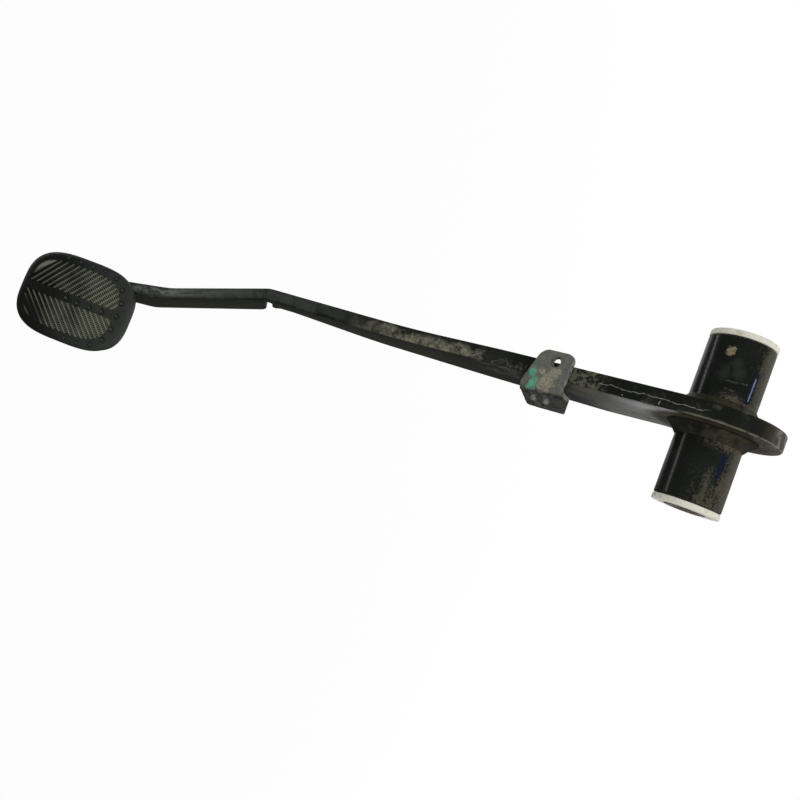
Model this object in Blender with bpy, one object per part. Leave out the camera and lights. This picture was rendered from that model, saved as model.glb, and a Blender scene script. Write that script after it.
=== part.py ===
# Hanging brake pedal for a car, in metres.
# +X is the pivot axis, the arm hangs towards -Z and the driver sits towards -Y.
# The origin is on the pivot axis, midway along the pivot tube.

import math

import bmesh
import bpy
from mathutils import Matrix, Vector

# Clearances
SEAT_GAP = 0.0003          # between two pieces that are welded, pressed or laid together
RUNNING_CLEARANCE = 0.0001  # radial, bush bore round the sleeve

# Pivot tube and what turns in it
TUBE_DIAMETER = 0.026
TUBE_WALL = 0.003
TUBE_LENGTH = 0.0652
TUBE_CHAMFER = 0.0005
FLANGE_DIAMETER = 0.0262
FLANGE_THICKNESS = 0.0024
FLANGE_EDGE = 0.0006
SPIGOT_LENGTH = 0.014
SLEEVE_DIAMETER = 0.016
SLEEVE_BORE = 0.0116
SLEEVE_PROUD = 0.0004      # how far the sleeve stands past each flange
SLEEVE_CHAMFER = 0.0005
EYE_WELD_LEG = 0.0042
EYE_WELD_HOLLOW = 0.0013   # how far the bead's face dips below its chord
BEAD_END = 0.35             # straight beads: size at their ends, as a share of the leg
BEAD_FACE = 0.42            # and how far out the middle of the face stands; 0.5 is a flat face
ROUND_SIDES = 56
SLEEVE_SIDES = 48

# From the pivot to the middle of the foot plate's front face, and what tilts the whole
PEDAL_DROP = 0.3545
PAD_FORWARD = 0.0238       # towards the driver
FOOT_BESIDE_MIDDLE = 0.0141  # how far to its left the arm's foot passes
HANG_ANGLE = -1.03         # degrees, so that the pedal's weight hangs straight below

# Arm, cut from plate: places are (towards the rear, down the arm) from the pivot
ARM_THICKNESS = 0.007
ARM_EDGE_ROUND = 0.0009
EYE_RADIUS = 0.026
EYE_LEAVE_ANGLE = 28.0     # degrees below level where the rear edge leaves the eye
EYE_LEAVE_RUN = 0.009
ARM_FRONT_KNEE = (-0.0125, 0.090)
ARM_FRONT_SHOULDER = (-0.0005, 0.147)
ARM_REAR_HEEL = (0.0268, 0.050)
ARM_REAR_BELLY = (0.0297, 0.112)
ARM_REAR_TAPER_START = (0.0285, 0.181)
ARM_REAR_TAPER_END = (0.0138, 0.229)
STEM_DEPTH = 0.0165
FOLD_START = 0.2378        # distance down the arm where it turns towards +X
FOLD_ANGLE = 12.5          # degrees
FOLD_RADIUS = 0.020
FOOT_BEND_RADIUS = 0.024
FOOT_PAST_MIDDLE = 0.0065  # how far below the pad's middle the foot ends, along the plate
FOOT_END_DEPTH = 0.009
FOOT_REAR_DROP = 0.013     # how much further down the rear edge stays straight

# Rounds of the arm's outline
NECK_ROUND = 0.010
HEEL_ROUND = 0.040
BELLY_ROUND = 0.300
TAPER_START_ROUND = 0.080
TAPER_END_ROUND = 0.008
SHOULDER_ROUND = 0.180
KNEE_ROUND = 0.150
FOOT_FRONT_TIP_ROUND = 0.003
FOOT_REAR_TIP_ROUND = 0.005

# Slanting notch in the rear edge at the fold, for the hook of the return spring
NOTCH_LIP = 0.2468         # distance down the arm of its upper lip
NOTCH_ANGLE = 38.0         # degrees, its mouth is lower than its floor
NOTCH_WIDTH = 0.0034
NOTCH_LENGTH = 0.0116
NOTCH_UPPER_ROUND = 0.0014
NOTCH_LOWER_ROUND = 0.0035

# Pad
FOOT_WELD_LEG = 0.0026
FOOT_WELD_CLEAR = 0.0006   # between the bead and the rubber's lip
FOOT_WELD_SHORT = 0.004    # from the bead's lower end to the foot's tip
PAD_TILT = 25.0            # degrees, its lower end is nearer the driver
PAD_WIDTH = 0.0508
PAD_LENGTH = 0.0686
PAD_SQUARENESS = 3.4       # 2 would be an ellipse, a large number a rectangle
PAD_SIDES = 64
PLATE_THICKNESS = 0.0025
TREAD_THICKNESS = 0.0050
PAD_WALL = 0.0026
PAD_LIP = 0.0045           # how far the lip reaches in behind the plate
PAD_LIP_THICKNESS = 0.0024
PAD_EDGE_ROUND = 0.0022
LIP_NOTCH_CLEARANCE = 0.0005

# Tread pattern: ribs slant up and out from a plain middle band
PATTERN_WIDTH = 0.0398
PATTERN_LENGTH = 0.0562
PATTERN_SHIFT = -0.0008    # it sits a little low on the pad
BAND_WIDTH = 0.0052
RIB_RISE = 0.90            # how much a rib climbs for each step outwards
RIB_PITCH = 0.0037         # measured along the pad
RIB_WIDTH = 0.0014         # measured along the pad
GROOVE_DEPTH = 0.0014
PIP_DIAMETER = 0.0029
PIP_HEIGHT = 0.0008
PIP_PITCH = 0.0080
PIP_INSET_SIDE = 0.0030    # from the pad's edge to the row of pips
PIP_INSET_END = 0.0055
RIM_PIP_COUNT = 8          # from the middle of the top end down one side; the rest are worn
BAND_PIP_COUNT = 4

# Switch and pushrod bracket, pressed from sheet and welded to the arm's front edge
SHEET = 0.0020
BRACKET_STATION = 0.065    # distance down the arm to the flap's middle
FORK_GAP = 0.0058          # between the arm's side and the web
SHEET_BEND_RADIUS = 0.0030  # at the middle of the sheet
FLAP_PAST_ARM = 0.0041     # the free end beyond the arm's far side
FLAP_FREE_EDGES = (-0.0055, 0.0102)   # down and up the arm from the flap's middle
FLAP_ROOT_EDGES = (-0.0104, 0.0092)
WEB_ROOT_EDGES = (-0.0112, 0.0120)
WEB_END_EDGES = (-0.0287, -0.0085)
WEB_LENGTH = 0.0370
BRACKET_CORNER = 0.0036
DART_SHARES = (0.19, 0.47)  # where the two darts lie across the sheet, from its lower edge
DART_HEIGHT = 0.0014
DART_WIDTH = 0.0017
DART_LENGTH = 0.028
DART_LEAD = 0.003          # how much of it lies on the flap
SWITCH_HOLE = 0.0037
SWITCH_HOLE_PLACE = (0.0046, 0.0026)   # from the free end, and up from the middle
PIN_HOLE = 0.0082
PIN_HOLE_FROM_END = 0.0095
BRACKET_WELD_LEG = 0.0022
BRACKET_WELD_LENGTH = 0.014


def clear_scene():
    for item in list(bpy.data.objects):
        bpy.data.objects.remove(item, do_unlink=True)


def make_material(name, colour, roughness, metallic):
    material = bpy.data.materials.new(name)
    material.use_nodes = True
    shader = material.node_tree.nodes["Principled BSDF"]
    shader.inputs["Base Color"].default_value = (*colour, 1.0)
    shader.inputs["Roughness"].default_value = roughness
    shader.inputs["Metallic"].default_value = metallic
    return material


def add_object(name, bm, material=None):
    """Turn a bmesh into a named object with outward faces and smooth rounds."""
    bmesh.ops.recalc_face_normals(bm, faces=bm.faces)
    mesh = bpy.data.meshes.new(name)
    bm.to_mesh(mesh)
    bm.free()
    mesh.shade_smooth()
    mesh.set_sharp_from_angle(angle=math.radians(32))
    item = bpy.data.objects.new(name, mesh)
    bpy.context.scene.collection.objects.link(item)
    if material:
        mesh.materials.append(material)
    return item


def as_cutter(item):
    item.hide_render = True
    item.display_type = "WIRE"
    return item


def boolean(item, tool, operation):
    modifier = item.modifiers.new(tool.name, "BOOLEAN")
    modifier.operation = operation
    modifier.solver = "EXACT"
    modifier.object = tool


def join_rings(bm, rings, close_path):
    """Quads between neighbouring rings; the ends are capped unless the path closes."""
    pairs = list(zip(rings, rings[1:]))
    if close_path:
        pairs.append((rings[-1], rings[0]))
    for near, far in pairs:
        count = len(near)
        for i in range(count):
            j = (i + 1) % count
            bm.faces.new((near[i], near[j], far[j], far[i]))
    if not close_path:
        bm.faces.new(rings[0])
        bm.faces.new(reversed(rings[-1]))


def turned(name, profile, sides, material):
    """Revolve a closed profile of (x, radius) points about the X axis."""
    bm = bmesh.new()
    rings = []
    for x, radius in profile:
        ring = []
        for i in range(sides):
            angle = 2 * math.pi * i / sides
            ring.append(bm.verts.new((x, radius * math.cos(angle), radius * math.sin(angle))))
        rings.append(ring)
    join_rings(bm, rings, close_path=True)
    return add_object(name, bm, material)


def rod_along(name, start, end, radius, sides=32):
    """A plain cylinder between two points, used as a cutter."""
    start, end = Vector(start), Vector(end)
    turn = (end - start).to_track_quat("Z", "Y").to_matrix().to_4x4()
    bm = bmesh.new()
    bmesh.ops.create_cone(
        bm, cap_ends=True, segments=sides, radius1=radius, radius2=radius,
        depth=(end - start).length, matrix=Matrix.Translation((start + end) / 2) @ turn)
    return as_cutter(add_object(name, bm))


def fillet_points(before, corner, after, radius, step):
    """Points of the arc that rounds one corner of an outline."""
    before, corner, after = Vector(before), Vector(corner), Vector(after)
    if radius <= 0:
        return [corner]
    to_before = (before - corner).normalized()
    to_after = (after - corner).normalized()
    opening = to_before.angle(to_after)
    tangent_length = radius / math.tan(opening / 2)
    centre = corner + (to_before + to_after).normalized() * radius / math.sin(opening / 2)
    start = corner + to_before * tangent_length - centre
    end = corner + to_after * tangent_length - centre
    turn = math.pi - opening
    count = max(2, math.ceil(turn / step))
    if start.x * end.y - start.y * end.x < 0:
        turn = -turn
    points = []
    for i in range(count + 1):
        c, s = math.cos(turn * i / count), math.sin(turn * i / count)
        points.append(centre + Vector((c * start.x - s * start.y, s * start.x + c * start.y)))
    return points


def rounded_outline(corners, step=0.14):
    """Closed outline from corners given as (x, y, fillet radius)."""
    points = []
    count = len(corners)
    for i, (x, y, radius) in enumerate(corners):
        before = corners[i - 1][:2]
        after = corners[(i + 1) % count][:2]
        points += fillet_points(before, (x, y), after, radius, step)
    return points


def pad_shape(half_width, half_length, sides=PAD_SIDES):
    """The pad's bowed rectangle: |x/a|^n + |y/b|^n = 1, points at even angles."""
    points = []
    for i in range(sides):
        angle = 2 * math.pi * i / sides
        c, s = math.cos(angle), math.sin(angle)
        sum_of_powers = (abs(c / half_width) ** PAD_SQUARENESS
                         + abs(s / half_length) ** PAD_SQUARENESS)
        reach = sum_of_powers ** (-1 / PAD_SQUARENESS)
        points.append((reach * c, reach * s))
    return points


def pad_outline(inset):
    return pad_shape(PAD_WIDTH / 2 - inset, PAD_LENGTH / 2 - inset)


# The arm lies flat in the Y-S plane, S running down it, before it is folded.

FOLD_TURN = math.radians(FOLD_ANGLE)
FOLD_ARC = FOLD_RADIUS * FOLD_TURN


def folded(x, y, s):
    """Where a point of the flat arm lies once the stem is folded towards +X."""
    past = s - FOLD_START
    if past <= 0:
        return Vector((x, y, -s))
    turn = min(past / FOLD_RADIUS, FOLD_TURN)
    straight = max(past - FOLD_ARC, 0.0)
    inner = FOLD_RADIUS - x
    return Vector((FOLD_RADIUS - inner * math.cos(turn) + straight * math.sin(turn),
                   y,
                   -FOLD_START - inner * math.sin(turn) - straight * math.cos(turn)))


PAD_NORMAL = Vector((0, -math.cos(math.radians(PAD_TILT)), math.sin(math.radians(PAD_TILT))))
PAD_UP = Vector((0, math.sin(math.radians(PAD_TILT)), math.cos(math.radians(PAD_TILT))))
PAD_MIDDLE = Vector((0, -PAD_FORWARD, -PEDAL_DROP))
FOOT_TURN = math.atan(math.tan(math.radians(PAD_TILT)) * math.cos(FOLD_TURN))


def foot_corner():
    """How far down the arm its front edge meets the back of the foot plate."""
    lean = ARM_THICKNESS / 2 * math.sin(math.radians(PAD_TILT)) * math.sin(FOLD_TURN)
    back = PAD_MIDDLE - PAD_NORMAL * (PLATE_THICKNESS + SEAT_GAP + lean)
    front = ARM_FRONT_SHOULDER[0]
    z = back.z - (front - back.y) * PAD_NORMAL.y / PAD_NORMAL.z
    fold_end = folded(0, 0, FOLD_START + FOLD_ARC).z
    return FOLD_START + FOLD_ARC + (fold_end - z) / math.cos(FOLD_TURN)


def foot_line():
    """Where the foot's front edge meets the plate's back, and the way down it."""
    top = folded(0, ARM_FRONT_SHOULDER[0], foot_corner())
    down = folded(0, -math.sin(FOOT_TURN), 1 + math.cos(FOOT_TURN)) - folded(0, 0, 1)
    return top, down


def foot_run_to(below_middle):
    """Distance down the foot to a level of the pad."""
    top, down = foot_line()
    return ((top - PAD_MIDDLE).dot(PAD_UP) + below_middle) / -down.dot(PAD_UP)


def foot_reach():
    """Length of the foot behind the plate."""
    return foot_run_to(FOOT_PAST_MIDDLE)


def pad_centre():
    """Middle of the foot plate's front face, set sideways by where the foot passes it."""
    top, down = foot_line()
    beside = top + down * foot_run_to(0)
    return Vector((beside.x + FOOT_BESIDE_MIDDLE, PAD_MIDDLE.y, PAD_MIDDLE.z))


def eye_tangent(point):
    """Angle on the eye where a straight edge from a point in front touches it."""
    reach = math.hypot(*point)
    return math.atan2(point[1], point[0]) - math.acos(EYE_RADIUS / reach)


def arm_outline():
    """The arm's flat outline as (y, -s) points: rear edge down, foot, front edge up, eye."""
    leave = -math.radians(EYE_LEAVE_ANGLE)
    leave_point = Vector((math.cos(leave), math.sin(leave))) * EYE_RADIUS
    neck = leave_point + Vector((math.sin(leave), -math.cos(leave))) * EYE_LEAVE_RUN
    front = ARM_FRONT_SHOULDER[0]
    rear = front + STEM_DEPTH

    slant = math.radians(NOTCH_ANGLE)
    inward = Vector((-math.cos(slant), math.sin(slant)))
    lip = Vector((ARM_REAR_TAPER_END[0], -NOTCH_LIP))
    floor_top = lip + inward * NOTCH_LENGTH
    floor_low = floor_top + Vector((-inward.y, inward.x)) * NOTCH_WIDTH
    low_lip = floor_low - inward * (rear - floor_low.x) / math.cos(slant)

    bend = foot_corner()
    along = Vector((-math.sin(FOOT_TURN), -math.cos(FOOT_TURN)))
    across = Vector((math.cos(FOOT_TURN), -math.sin(FOOT_TURN)))
    front_bend = Vector((front, -bend))
    front_tip = front_bend + along * foot_reach()
    rear_tip = front_tip + across * FOOT_END_DEPTH

    corners = [
        (leave_point.x, leave_point.y, 0),
        (neck.x, neck.y, NECK_ROUND),
        (ARM_REAR_HEEL[0], -ARM_REAR_HEEL[1], HEEL_ROUND),
        (ARM_REAR_BELLY[0], -ARM_REAR_BELLY[1], BELLY_ROUND),
        (ARM_REAR_TAPER_START[0], -ARM_REAR_TAPER_START[1], TAPER_START_ROUND),
        (ARM_REAR_TAPER_END[0], -ARM_REAR_TAPER_END[1], TAPER_END_ROUND),
        (lip.x, lip.y, NOTCH_UPPER_ROUND),
        (floor_top.x, floor_top.y, NOTCH_WIDTH * 0.49),
        (floor_low.x, floor_low.y, NOTCH_WIDTH * 0.49),
        (low_lip.x, low_lip.y, NOTCH_LOWER_ROUND),
        (rear, -bend - FOOT_REAR_DROP, FOOT_BEND_RADIUS),
        (rear_tip.x, rear_tip.y, FOOT_REAR_TIP_ROUND),
        (front_tip.x, front_tip.y, FOOT_FRONT_TIP_ROUND),
        (front_bend.x, front_bend.y, FOOT_BEND_RADIUS),
        (ARM_FRONT_SHOULDER[0], -ARM_FRONT_SHOULDER[1], SHOULDER_ROUND),
        (ARM_FRONT_KNEE[0], -ARM_FRONT_KNEE[1], KNEE_ROUND),
    ]
    start = eye_tangent((ARM_FRONT_KNEE[0], -ARM_FRONT_KNEE[1])) + 2 * math.pi
    touch = (EYE_RADIUS * math.cos(start), EYE_RADIUS * math.sin(start), 0)
    points = rounded_outline(corners + [touch])
    steps = 40
    for i in range(1, steps):
        angle = start + (leave - start) * i / steps
        points.append(Vector((math.cos(angle), math.sin(angle))) * EYE_RADIUS)
    return points


def arm_front_at(s):
    """The arm's front edge above the knee: its y at a distance s down the arm."""
    start = eye_tangent((ARM_FRONT_KNEE[0], -ARM_FRONT_KNEE[1]))
    top = (EYE_RADIUS * math.cos(start), -EYE_RADIUS * math.sin(start))
    share = (s - top[1]) / (ARM_FRONT_KNEE[1] - top[1])
    return top[0] + share * (ARM_FRONT_KNEE[0] - top[0])


def build_arm(steel):
    """Plate with rounded edges, folded below the blade, bored for tube and pushrod pin."""
    bm = bmesh.new()
    half = ARM_THICKNESS / 2
    outline = [bm.verts.new((-half, p.x, p.y)) for p in arm_outline()]
    face = bm.faces.new(outline)
    lifted = bmesh.ops.extrude_face_region(bm, geom=[face])
    moved = [v for v in lifted["geom"] if isinstance(v, bmesh.types.BMVert)]
    bmesh.ops.translate(bm, verts=moved, vec=(ARM_THICKNESS, 0, 0))
    bmesh.ops.recalc_face_normals(bm, faces=bm.faces)
    rims = [e for e in bm.edges if abs(e.verts[0].co.x - e.verts[1].co.x) < half]
    bmesh.ops.bevel(bm, geom=rims, offset=ARM_EDGE_ROUND, segments=2, profile=0.5,
                    affect="EDGES", clamp_overlap=False)
    cuts = 5
    for i in range(cuts + 1):
        level = -(FOLD_START + FOLD_ARC * i / cuts)
        everything = bm.verts[:] + bm.edges[:] + bm.faces[:]
        bmesh.ops.bisect_plane(bm, geom=everything, plane_co=(0, 0, level), plane_no=(0, 0, 1),
                               dist=1e-7)
    for vert in bm.verts:
        vert.co = folded(vert.co.x, vert.co.y, -vert.co.z)
    arm = add_object("pedal_arm", bm, steel)
    bore = rod_along("cut_eye_bore", (-ARM_THICKNESS, 0, 0), (ARM_THICKNESS, 0, 0),
                     TUBE_DIAMETER / 2 + SEAT_GAP, ROUND_SIDES)
    boolean(arm, bore, "DIFFERENCE")
    return arm


def build_pivot(steel, plastic):
    """Tube through the eye, a fillet of weld each side, a bush in each end."""
    outer = TUBE_DIAMETER / 2
    inner = outer - TUBE_WALL
    half = TUBE_LENGTH / 2
    chamfer = TUBE_CHAMFER
    turned("pivot_tube", [
        (-half, inner + chamfer), (-half, outer - chamfer), (-half + chamfer, outer),
        (half - chamfer, outer), (half, outer - chamfer), (half, inner + chamfer),
        (half - chamfer, inner), (-half + chamfer, inner)], ROUND_SIDES, steel)

    root = ARM_THICKNESS / 2 + SEAT_GAP
    foot = outer + SEAT_GAP
    for side, name in ((-1, "eye_weld_left"), (1, "eye_weld_right")):
        face = []
        steps = 4
        for i in range(steps + 1):
            share = i / steps
            dip = EYE_WELD_HOLLOW * math.sin(math.pi * share) / math.sqrt(2)
            face.append((side * (root + EYE_WELD_LEG * share - dip),
                         foot + EYE_WELD_LEG * (1 - share) - dip))
        turned(name, [(side * root, foot)] + face, ROUND_SIDES, steel)

    bore = SLEEVE_DIAMETER / 2 + RUNNING_CLEARANCE
    spigot = inner - SEAT_GAP
    rim = FLANGE_DIAMETER / 2
    for side, name in ((-1, "bush_left"), (1, "bush_right")):
        seat = half + SEAT_GAP
        end = seat + FLANGE_THICKNESS
        tip = half - SPIGOT_LENGTH
        profile = [
            (tip, bore), (tip, spigot - FLANGE_EDGE), (tip + FLANGE_EDGE, spigot), (seat, spigot),
            (seat, rim - FLANGE_EDGE), (seat + FLANGE_EDGE, rim), (end - FLANGE_EDGE, rim),
            (end, rim - FLANGE_EDGE), (end, bore + FLANGE_EDGE), (end - FLANGE_EDGE, bore)]
        turned(name, [(side * x, r) for x, r in profile], ROUND_SIDES, plastic)


def build_sleeve(bright):
    """Spacer sleeve: the pivot bolt clamps it and the pedal turns round it."""
    reach = TUBE_LENGTH / 2 + SEAT_GAP + FLANGE_THICKNESS + SLEEVE_PROUD
    skin = SLEEVE_DIAMETER / 2
    hole = SLEEVE_BORE / 2
    chamfer = SLEEVE_CHAMFER
    turned("spacer_sleeve", [
        (-reach, hole + chamfer), (-reach, skin - chamfer), (-reach + chamfer, skin),
        (reach - chamfer, skin), (reach, skin - chamfer), (reach, hole + chamfer),
        (reach - chamfer, hole), (-reach + chamfer, hole)], SLEEVE_SIDES, bright)


# The bracket is laid out flat as (along, across): along runs from the flap's free end,
# round the bend and down the web; across runs up the arm's front edge.

FLAP_LENGTH = FLAP_PAST_ARM + ARM_THICKNESS + FORK_GAP + SHEET / 2 - SHEET_BEND_RADIUS
BEND_LENGTH = SHEET_BEND_RADIUS * math.pi / 2


def front_edge_slope():
    start = eye_tangent((ARM_FRONT_KNEE[0], -ARM_FRONT_KNEE[1]))
    top = Vector((EYE_RADIUS * math.cos(start), EYE_RADIUS * math.sin(start)))
    return (top - Vector((ARM_FRONT_KNEE[0], -ARM_FRONT_KNEE[1]))).normalized()


def bracket_frame():
    """Matrix of the bracket: x is +X, y runs up the front edge, z points at the driver."""
    up = front_edge_slope()
    y_axis = Vector((0, up.x, up.y))
    z_axis = Vector((1, 0, 0)).cross(y_axis)
    origin = Vector((0, arm_front_at(BRACKET_STATION), -BRACKET_STATION))
    frame = Matrix((Vector((1, 0, 0)), y_axis, z_axis)).transposed().to_4x4()
    return Matrix.Translation(origin) @ frame


def bracket_point(along, across, lift=0.0):
    """Middle of the sheet in the bracket's frame, pushed outwards by lift."""
    start = -ARM_THICKNESS / 2 - FLAP_PAST_ARM
    level = SEAT_GAP + SHEET / 2
    radius = SHEET_BEND_RADIUS
    if along <= FLAP_LENGTH:
        return Vector((start + along, across, level + lift))
    centre = Vector((start + FLAP_LENGTH, across, level - radius))
    turn = min((along - FLAP_LENGTH) / radius, math.pi / 2)
    straight = max(along - FLAP_LENGTH - BEND_LENGTH, 0.0)
    outward = Vector((math.sin(turn), 0, math.cos(turn)))
    return centre + outward * (radius + lift) - Vector((0, 0, straight))


def bracket_edges(along):
    """Lower and upper edge of the flat sheet, with its four corners rounded."""
    root = FLAP_LENGTH + BEND_LENGTH
    total = root + WEB_LENGTH
    if along < FLAP_LENGTH:
        share, near, far = along / FLAP_LENGTH, FLAP_FREE_EDGES, FLAP_ROOT_EDGES
    elif along < root:
        share, near, far = (along - FLAP_LENGTH) / BEND_LENGTH, FLAP_ROOT_EDGES, WEB_ROOT_EDGES
    else:
        share, near, far = (along - root) / WEB_LENGTH, WEB_ROOT_EDGES, WEB_END_EDGES
    low, high = (a + (b - a) * share for a, b in zip(near, far))
    run = BRACKET_CORNER - min(along, total - along)
    if run > 0:
        cut = BRACKET_CORNER - math.sqrt(BRACKET_CORNER ** 2 - run ** 2)
        low += cut
        high -= cut
    return low, high


def dart_height(along, across):
    """The pressed darts: ridges over the bend that run out along the web."""
    share = (along - FLAP_LENGTH + DART_LEAD) / DART_LENGTH
    if not 0 < share < 1:
        return 0.0
    low, high = bracket_edges(along)
    bell = 0.0
    for place in DART_SHARES:
        off_centre = (across - low - (high - low) * place) / DART_WIDTH
        bell += math.exp(-off_centre ** 2)
    return DART_HEIGHT * math.sin(math.pi * share) ** 0.7 * bell


def bracket_stations():
    """Where the sheet's rows lie: close together round the corners and the bend."""
    total = FLAP_LENGTH + BEND_LENGTH + WEB_LENGTH
    corner = [BRACKET_CORNER * (1 - math.cos(math.pi / 2 * i / 5)) for i in range(6)]
    flap = [BRACKET_CORNER + (FLAP_LENGTH - BRACKET_CORNER) * i / 6 for i in range(1, 7)]
    bend = [FLAP_LENGTH + BEND_LENGTH * i / 6 for i in range(1, 7)]
    web_run = WEB_LENGTH - BRACKET_CORNER
    web = [FLAP_LENGTH + BEND_LENGTH + web_run * i / 16 for i in range(1, 17)]
    return corner + flap + bend + web + [total - c for c in reversed(corner[:-1])]


def pin_place():
    """Pushrod pin: middle of the web near its end, in the part's own frame."""
    along = FLAP_LENGTH + BEND_LENGTH + WEB_LENGTH - PIN_HOLE_FROM_END
    low, high = bracket_edges(along)
    return bracket_frame() @ bracket_point(along, (low + high) / 2)


def build_bracket(steel):
    """Pressed sheet: flap across the arm's front edge, bend with its darts, web of the fork."""
    frame = bracket_frame()
    across_count = 22
    bm = bmesh.new()
    rows = []
    for along in bracket_stations():
        low, high = bracket_edges(along)
        row = []
        for j in range(across_count + 1):
            across = low + (high - low) * j / across_count
            row.append(bm.verts.new(
                frame @ bracket_point(along, across, dart_height(along, across))))
        rows.append(row)
    for near, far in zip(rows, rows[1:]):
        for j in range(across_count):
            bm.faces.new((near[j], far[j], far[j + 1], near[j + 1]))
    bracket = add_object("switch_bracket", bm, steel)
    wall = bracket.modifiers.new("sheet", "SOLIDIFY")
    wall.thickness = SHEET
    wall.offset = 0
    wall.use_even_offset = True

    hole = bracket_point(SWITCH_HOLE_PLACE[0], SWITCH_HOLE_PLACE[1])
    step = Vector((0, 0, SHEET * 2))
    switch_cut = rod_along("cut_switch_hole", frame @ (hole - step), frame @ (hole + step),
                           SWITCH_HOLE / 2, 24)
    boolean(bracket, switch_cut, "DIFFERENCE")
    return bracket


def bore_pin_hole(pieces):
    pin = pin_place()
    reach = ARM_THICKNESS + FORK_GAP + SHEET
    cut = rod_along("cut_pin_hole", (pin.x - reach * 2, pin.y, pin.z),
                    (pin.x + reach, pin.y, pin.z), PIN_HOLE / 2, 36)
    for piece in pieces:
        boolean(piece, cut, "DIFFERENCE")


def fillet_bar(name, start, end, wall, floor, leg, material):
    """A straight weld bead: a triangular bar with a slightly hollow face and tapered ends."""
    start, end, wall, floor = (Vector(v) for v in (start, end, wall, floor))
    bm = bmesh.new()
    rings = []
    steps = 10
    for i in range(steps + 1):
        share = i / steps
        size = leg * (BEAD_END + (1 - BEAD_END) * min(1.0, 4 * min(share, 1 - share)))
        root = start.lerp(end, share)
        points = [root, root + wall * size, root + (wall + floor) * size * BEAD_FACE, root + floor * size]
        rings.append([bm.verts.new(p) for p in points])
    join_rings(bm, rings, close_path=False)
    return add_object(name, bm, material)


def build_bracket_weld(steel):
    """Bead in the corner between the flap's back and the arm's side, inside the fork."""
    frame = bracket_frame()
    inwards = frame.to_3x3() @ Vector((0, 0, -1))
    stand = ARM_THICKNESS / 2 + SEAT_GAP
    start = frame @ Vector((stand, -BRACKET_WELD_LENGTH / 2, 0))
    end = frame @ Vector((stand, BRACKET_WELD_LENGTH / 2, 0))
    fillet_bar("bracket_weld", start, end, inwards, Vector((1, 0, 0)), BRACKET_WELD_LEG, steel)


def pad_matrix():
    turn = Matrix.Rotation(math.radians(90 - PAD_TILT), 4, "X")
    return Matrix.Translation(pad_centre()) @ turn


def ring_stack(bm, outline_at, levels):
    """Rings of a rounded rectangle at given (inset, z) levels."""
    rings = []
    for inset, z in levels:
        rings.append([bm.verts.new((x, y, z)) for x, y in outline_at(inset)])
    return rings


def build_foot_plate(steel):
    inset = PAD_WALL + SEAT_GAP
    edge = 0.0004
    bm = bmesh.new()
    rings = ring_stack(bm, pad_outline, [
        (inset + edge, 0), (inset, -edge), (inset, -PLATE_THICKNESS + edge),
        (inset + edge, -PLATE_THICKNESS)])
    join_rings(bm, rings, close_path=False)
    plate = add_object("foot_plate", bm, steel)
    plate.matrix_local = pad_matrix()


def build_tread_cutter():
    """The grooves between the ribs, trimmed to the outline of the pattern."""
    low = TREAD_THICKNESS - GROOVE_DEPTH
    high = TREAD_THICKNESS + GROOVE_DEPTH
    inner = BAND_WIDTH / 2
    outer = PATTERN_WIDTH / 2 + 0.001
    half = (RIB_PITCH - RIB_WIDTH) / 2
    climb = (outer - inner) * RIB_RISE
    count = math.ceil((PATTERN_LENGTH / 2 + climb) / RIB_PITCH)
    bars = bmesh.new()
    for i in range(-count, count + 1):
        y = PATTERN_SHIFT + RIB_PITCH * i
        for side in (-1, 1):
            rings = []
            for z in (low, high):
                rings.append([bars.verts.new((side * x, y + lift, z)) for x, lift in (
                    (inner, -half), (outer, climb - half), (outer, climb + half), (inner, half))])
            join_rings(bars, rings, close_path=False)
    grooves = as_cutter(add_object("cut_grooves", bars))

    prism = bmesh.new()
    outline = pad_shape(PATTERN_WIDTH / 2, PATTERN_LENGTH / 2)
    rings = []
    for z in (0, TREAD_THICKNESS * 2):
        rings.append([prism.verts.new((x, y + PATTERN_SHIFT, z)) for x, y in outline])
    join_rings(prism, rings, close_path=False)
    pattern = as_cutter(add_object("cut_pattern_edge", prism))
    boolean(grooves, pattern, "INTERSECT")
    for item in (pattern, grooves):
        item.matrix_local = pad_matrix()
    return grooves


def walk(points, step, count):
    """Places along an open path at equal steps from its first point."""
    places = [Vector(points[0])]
    left = step
    for here, there in zip(points, points[1:]):
        here, there = Vector(here), Vector(there)
        while (there - here).length >= left and len(places) < count:
            here = here + (there - here).normalized() * left
            places.append(here)
            left = step
        left -= (there - here).length
    return places


def pip_places():
    """Pips stand in a row round the rim and down the middle band, where it isn't worn."""
    row = pad_shape(PAD_WIDTH / 2 - PIP_INSET_SIDE, PAD_LENGTH / 2 - PIP_INSET_END, sides=360)
    down_one_side = row[90::-1] + row[:270:-1]
    places = []
    for place in walk(down_one_side, PIP_PITCH, RIM_PIP_COUNT):
        places.append(place)
        if place.x > PIP_DIAMETER:
            places.append(Vector((-place.x, place.y)))
    for i in range(BAND_PIP_COUNT):
        places.append(Vector((0, PIP_PITCH * (i - 0.5))))
    return places


def build_pips():
    bm = bmesh.new()
    sides = 12
    radius = PIP_DIAMETER / 2
    levels = [(radius, -0.0006), (radius, 0), (radius * 0.82, PIP_HEIGHT * 0.6),
              (radius * 0.42, PIP_HEIGHT * 0.95)]
    for x, y in pip_places():
        rings = []
        for r, z in levels:
            rings.append([bm.verts.new((
                x + r * math.cos(2 * math.pi * i / sides),
                y + r * math.sin(2 * math.pi * i / sides),
                TREAD_THICKNESS + z)) for i in range(sides)])
        join_rings(bm, rings, close_path=False)
    pips = as_cutter(add_object("add_pips", bm))
    pips.matrix_local = pad_matrix()
    return pips


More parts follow.
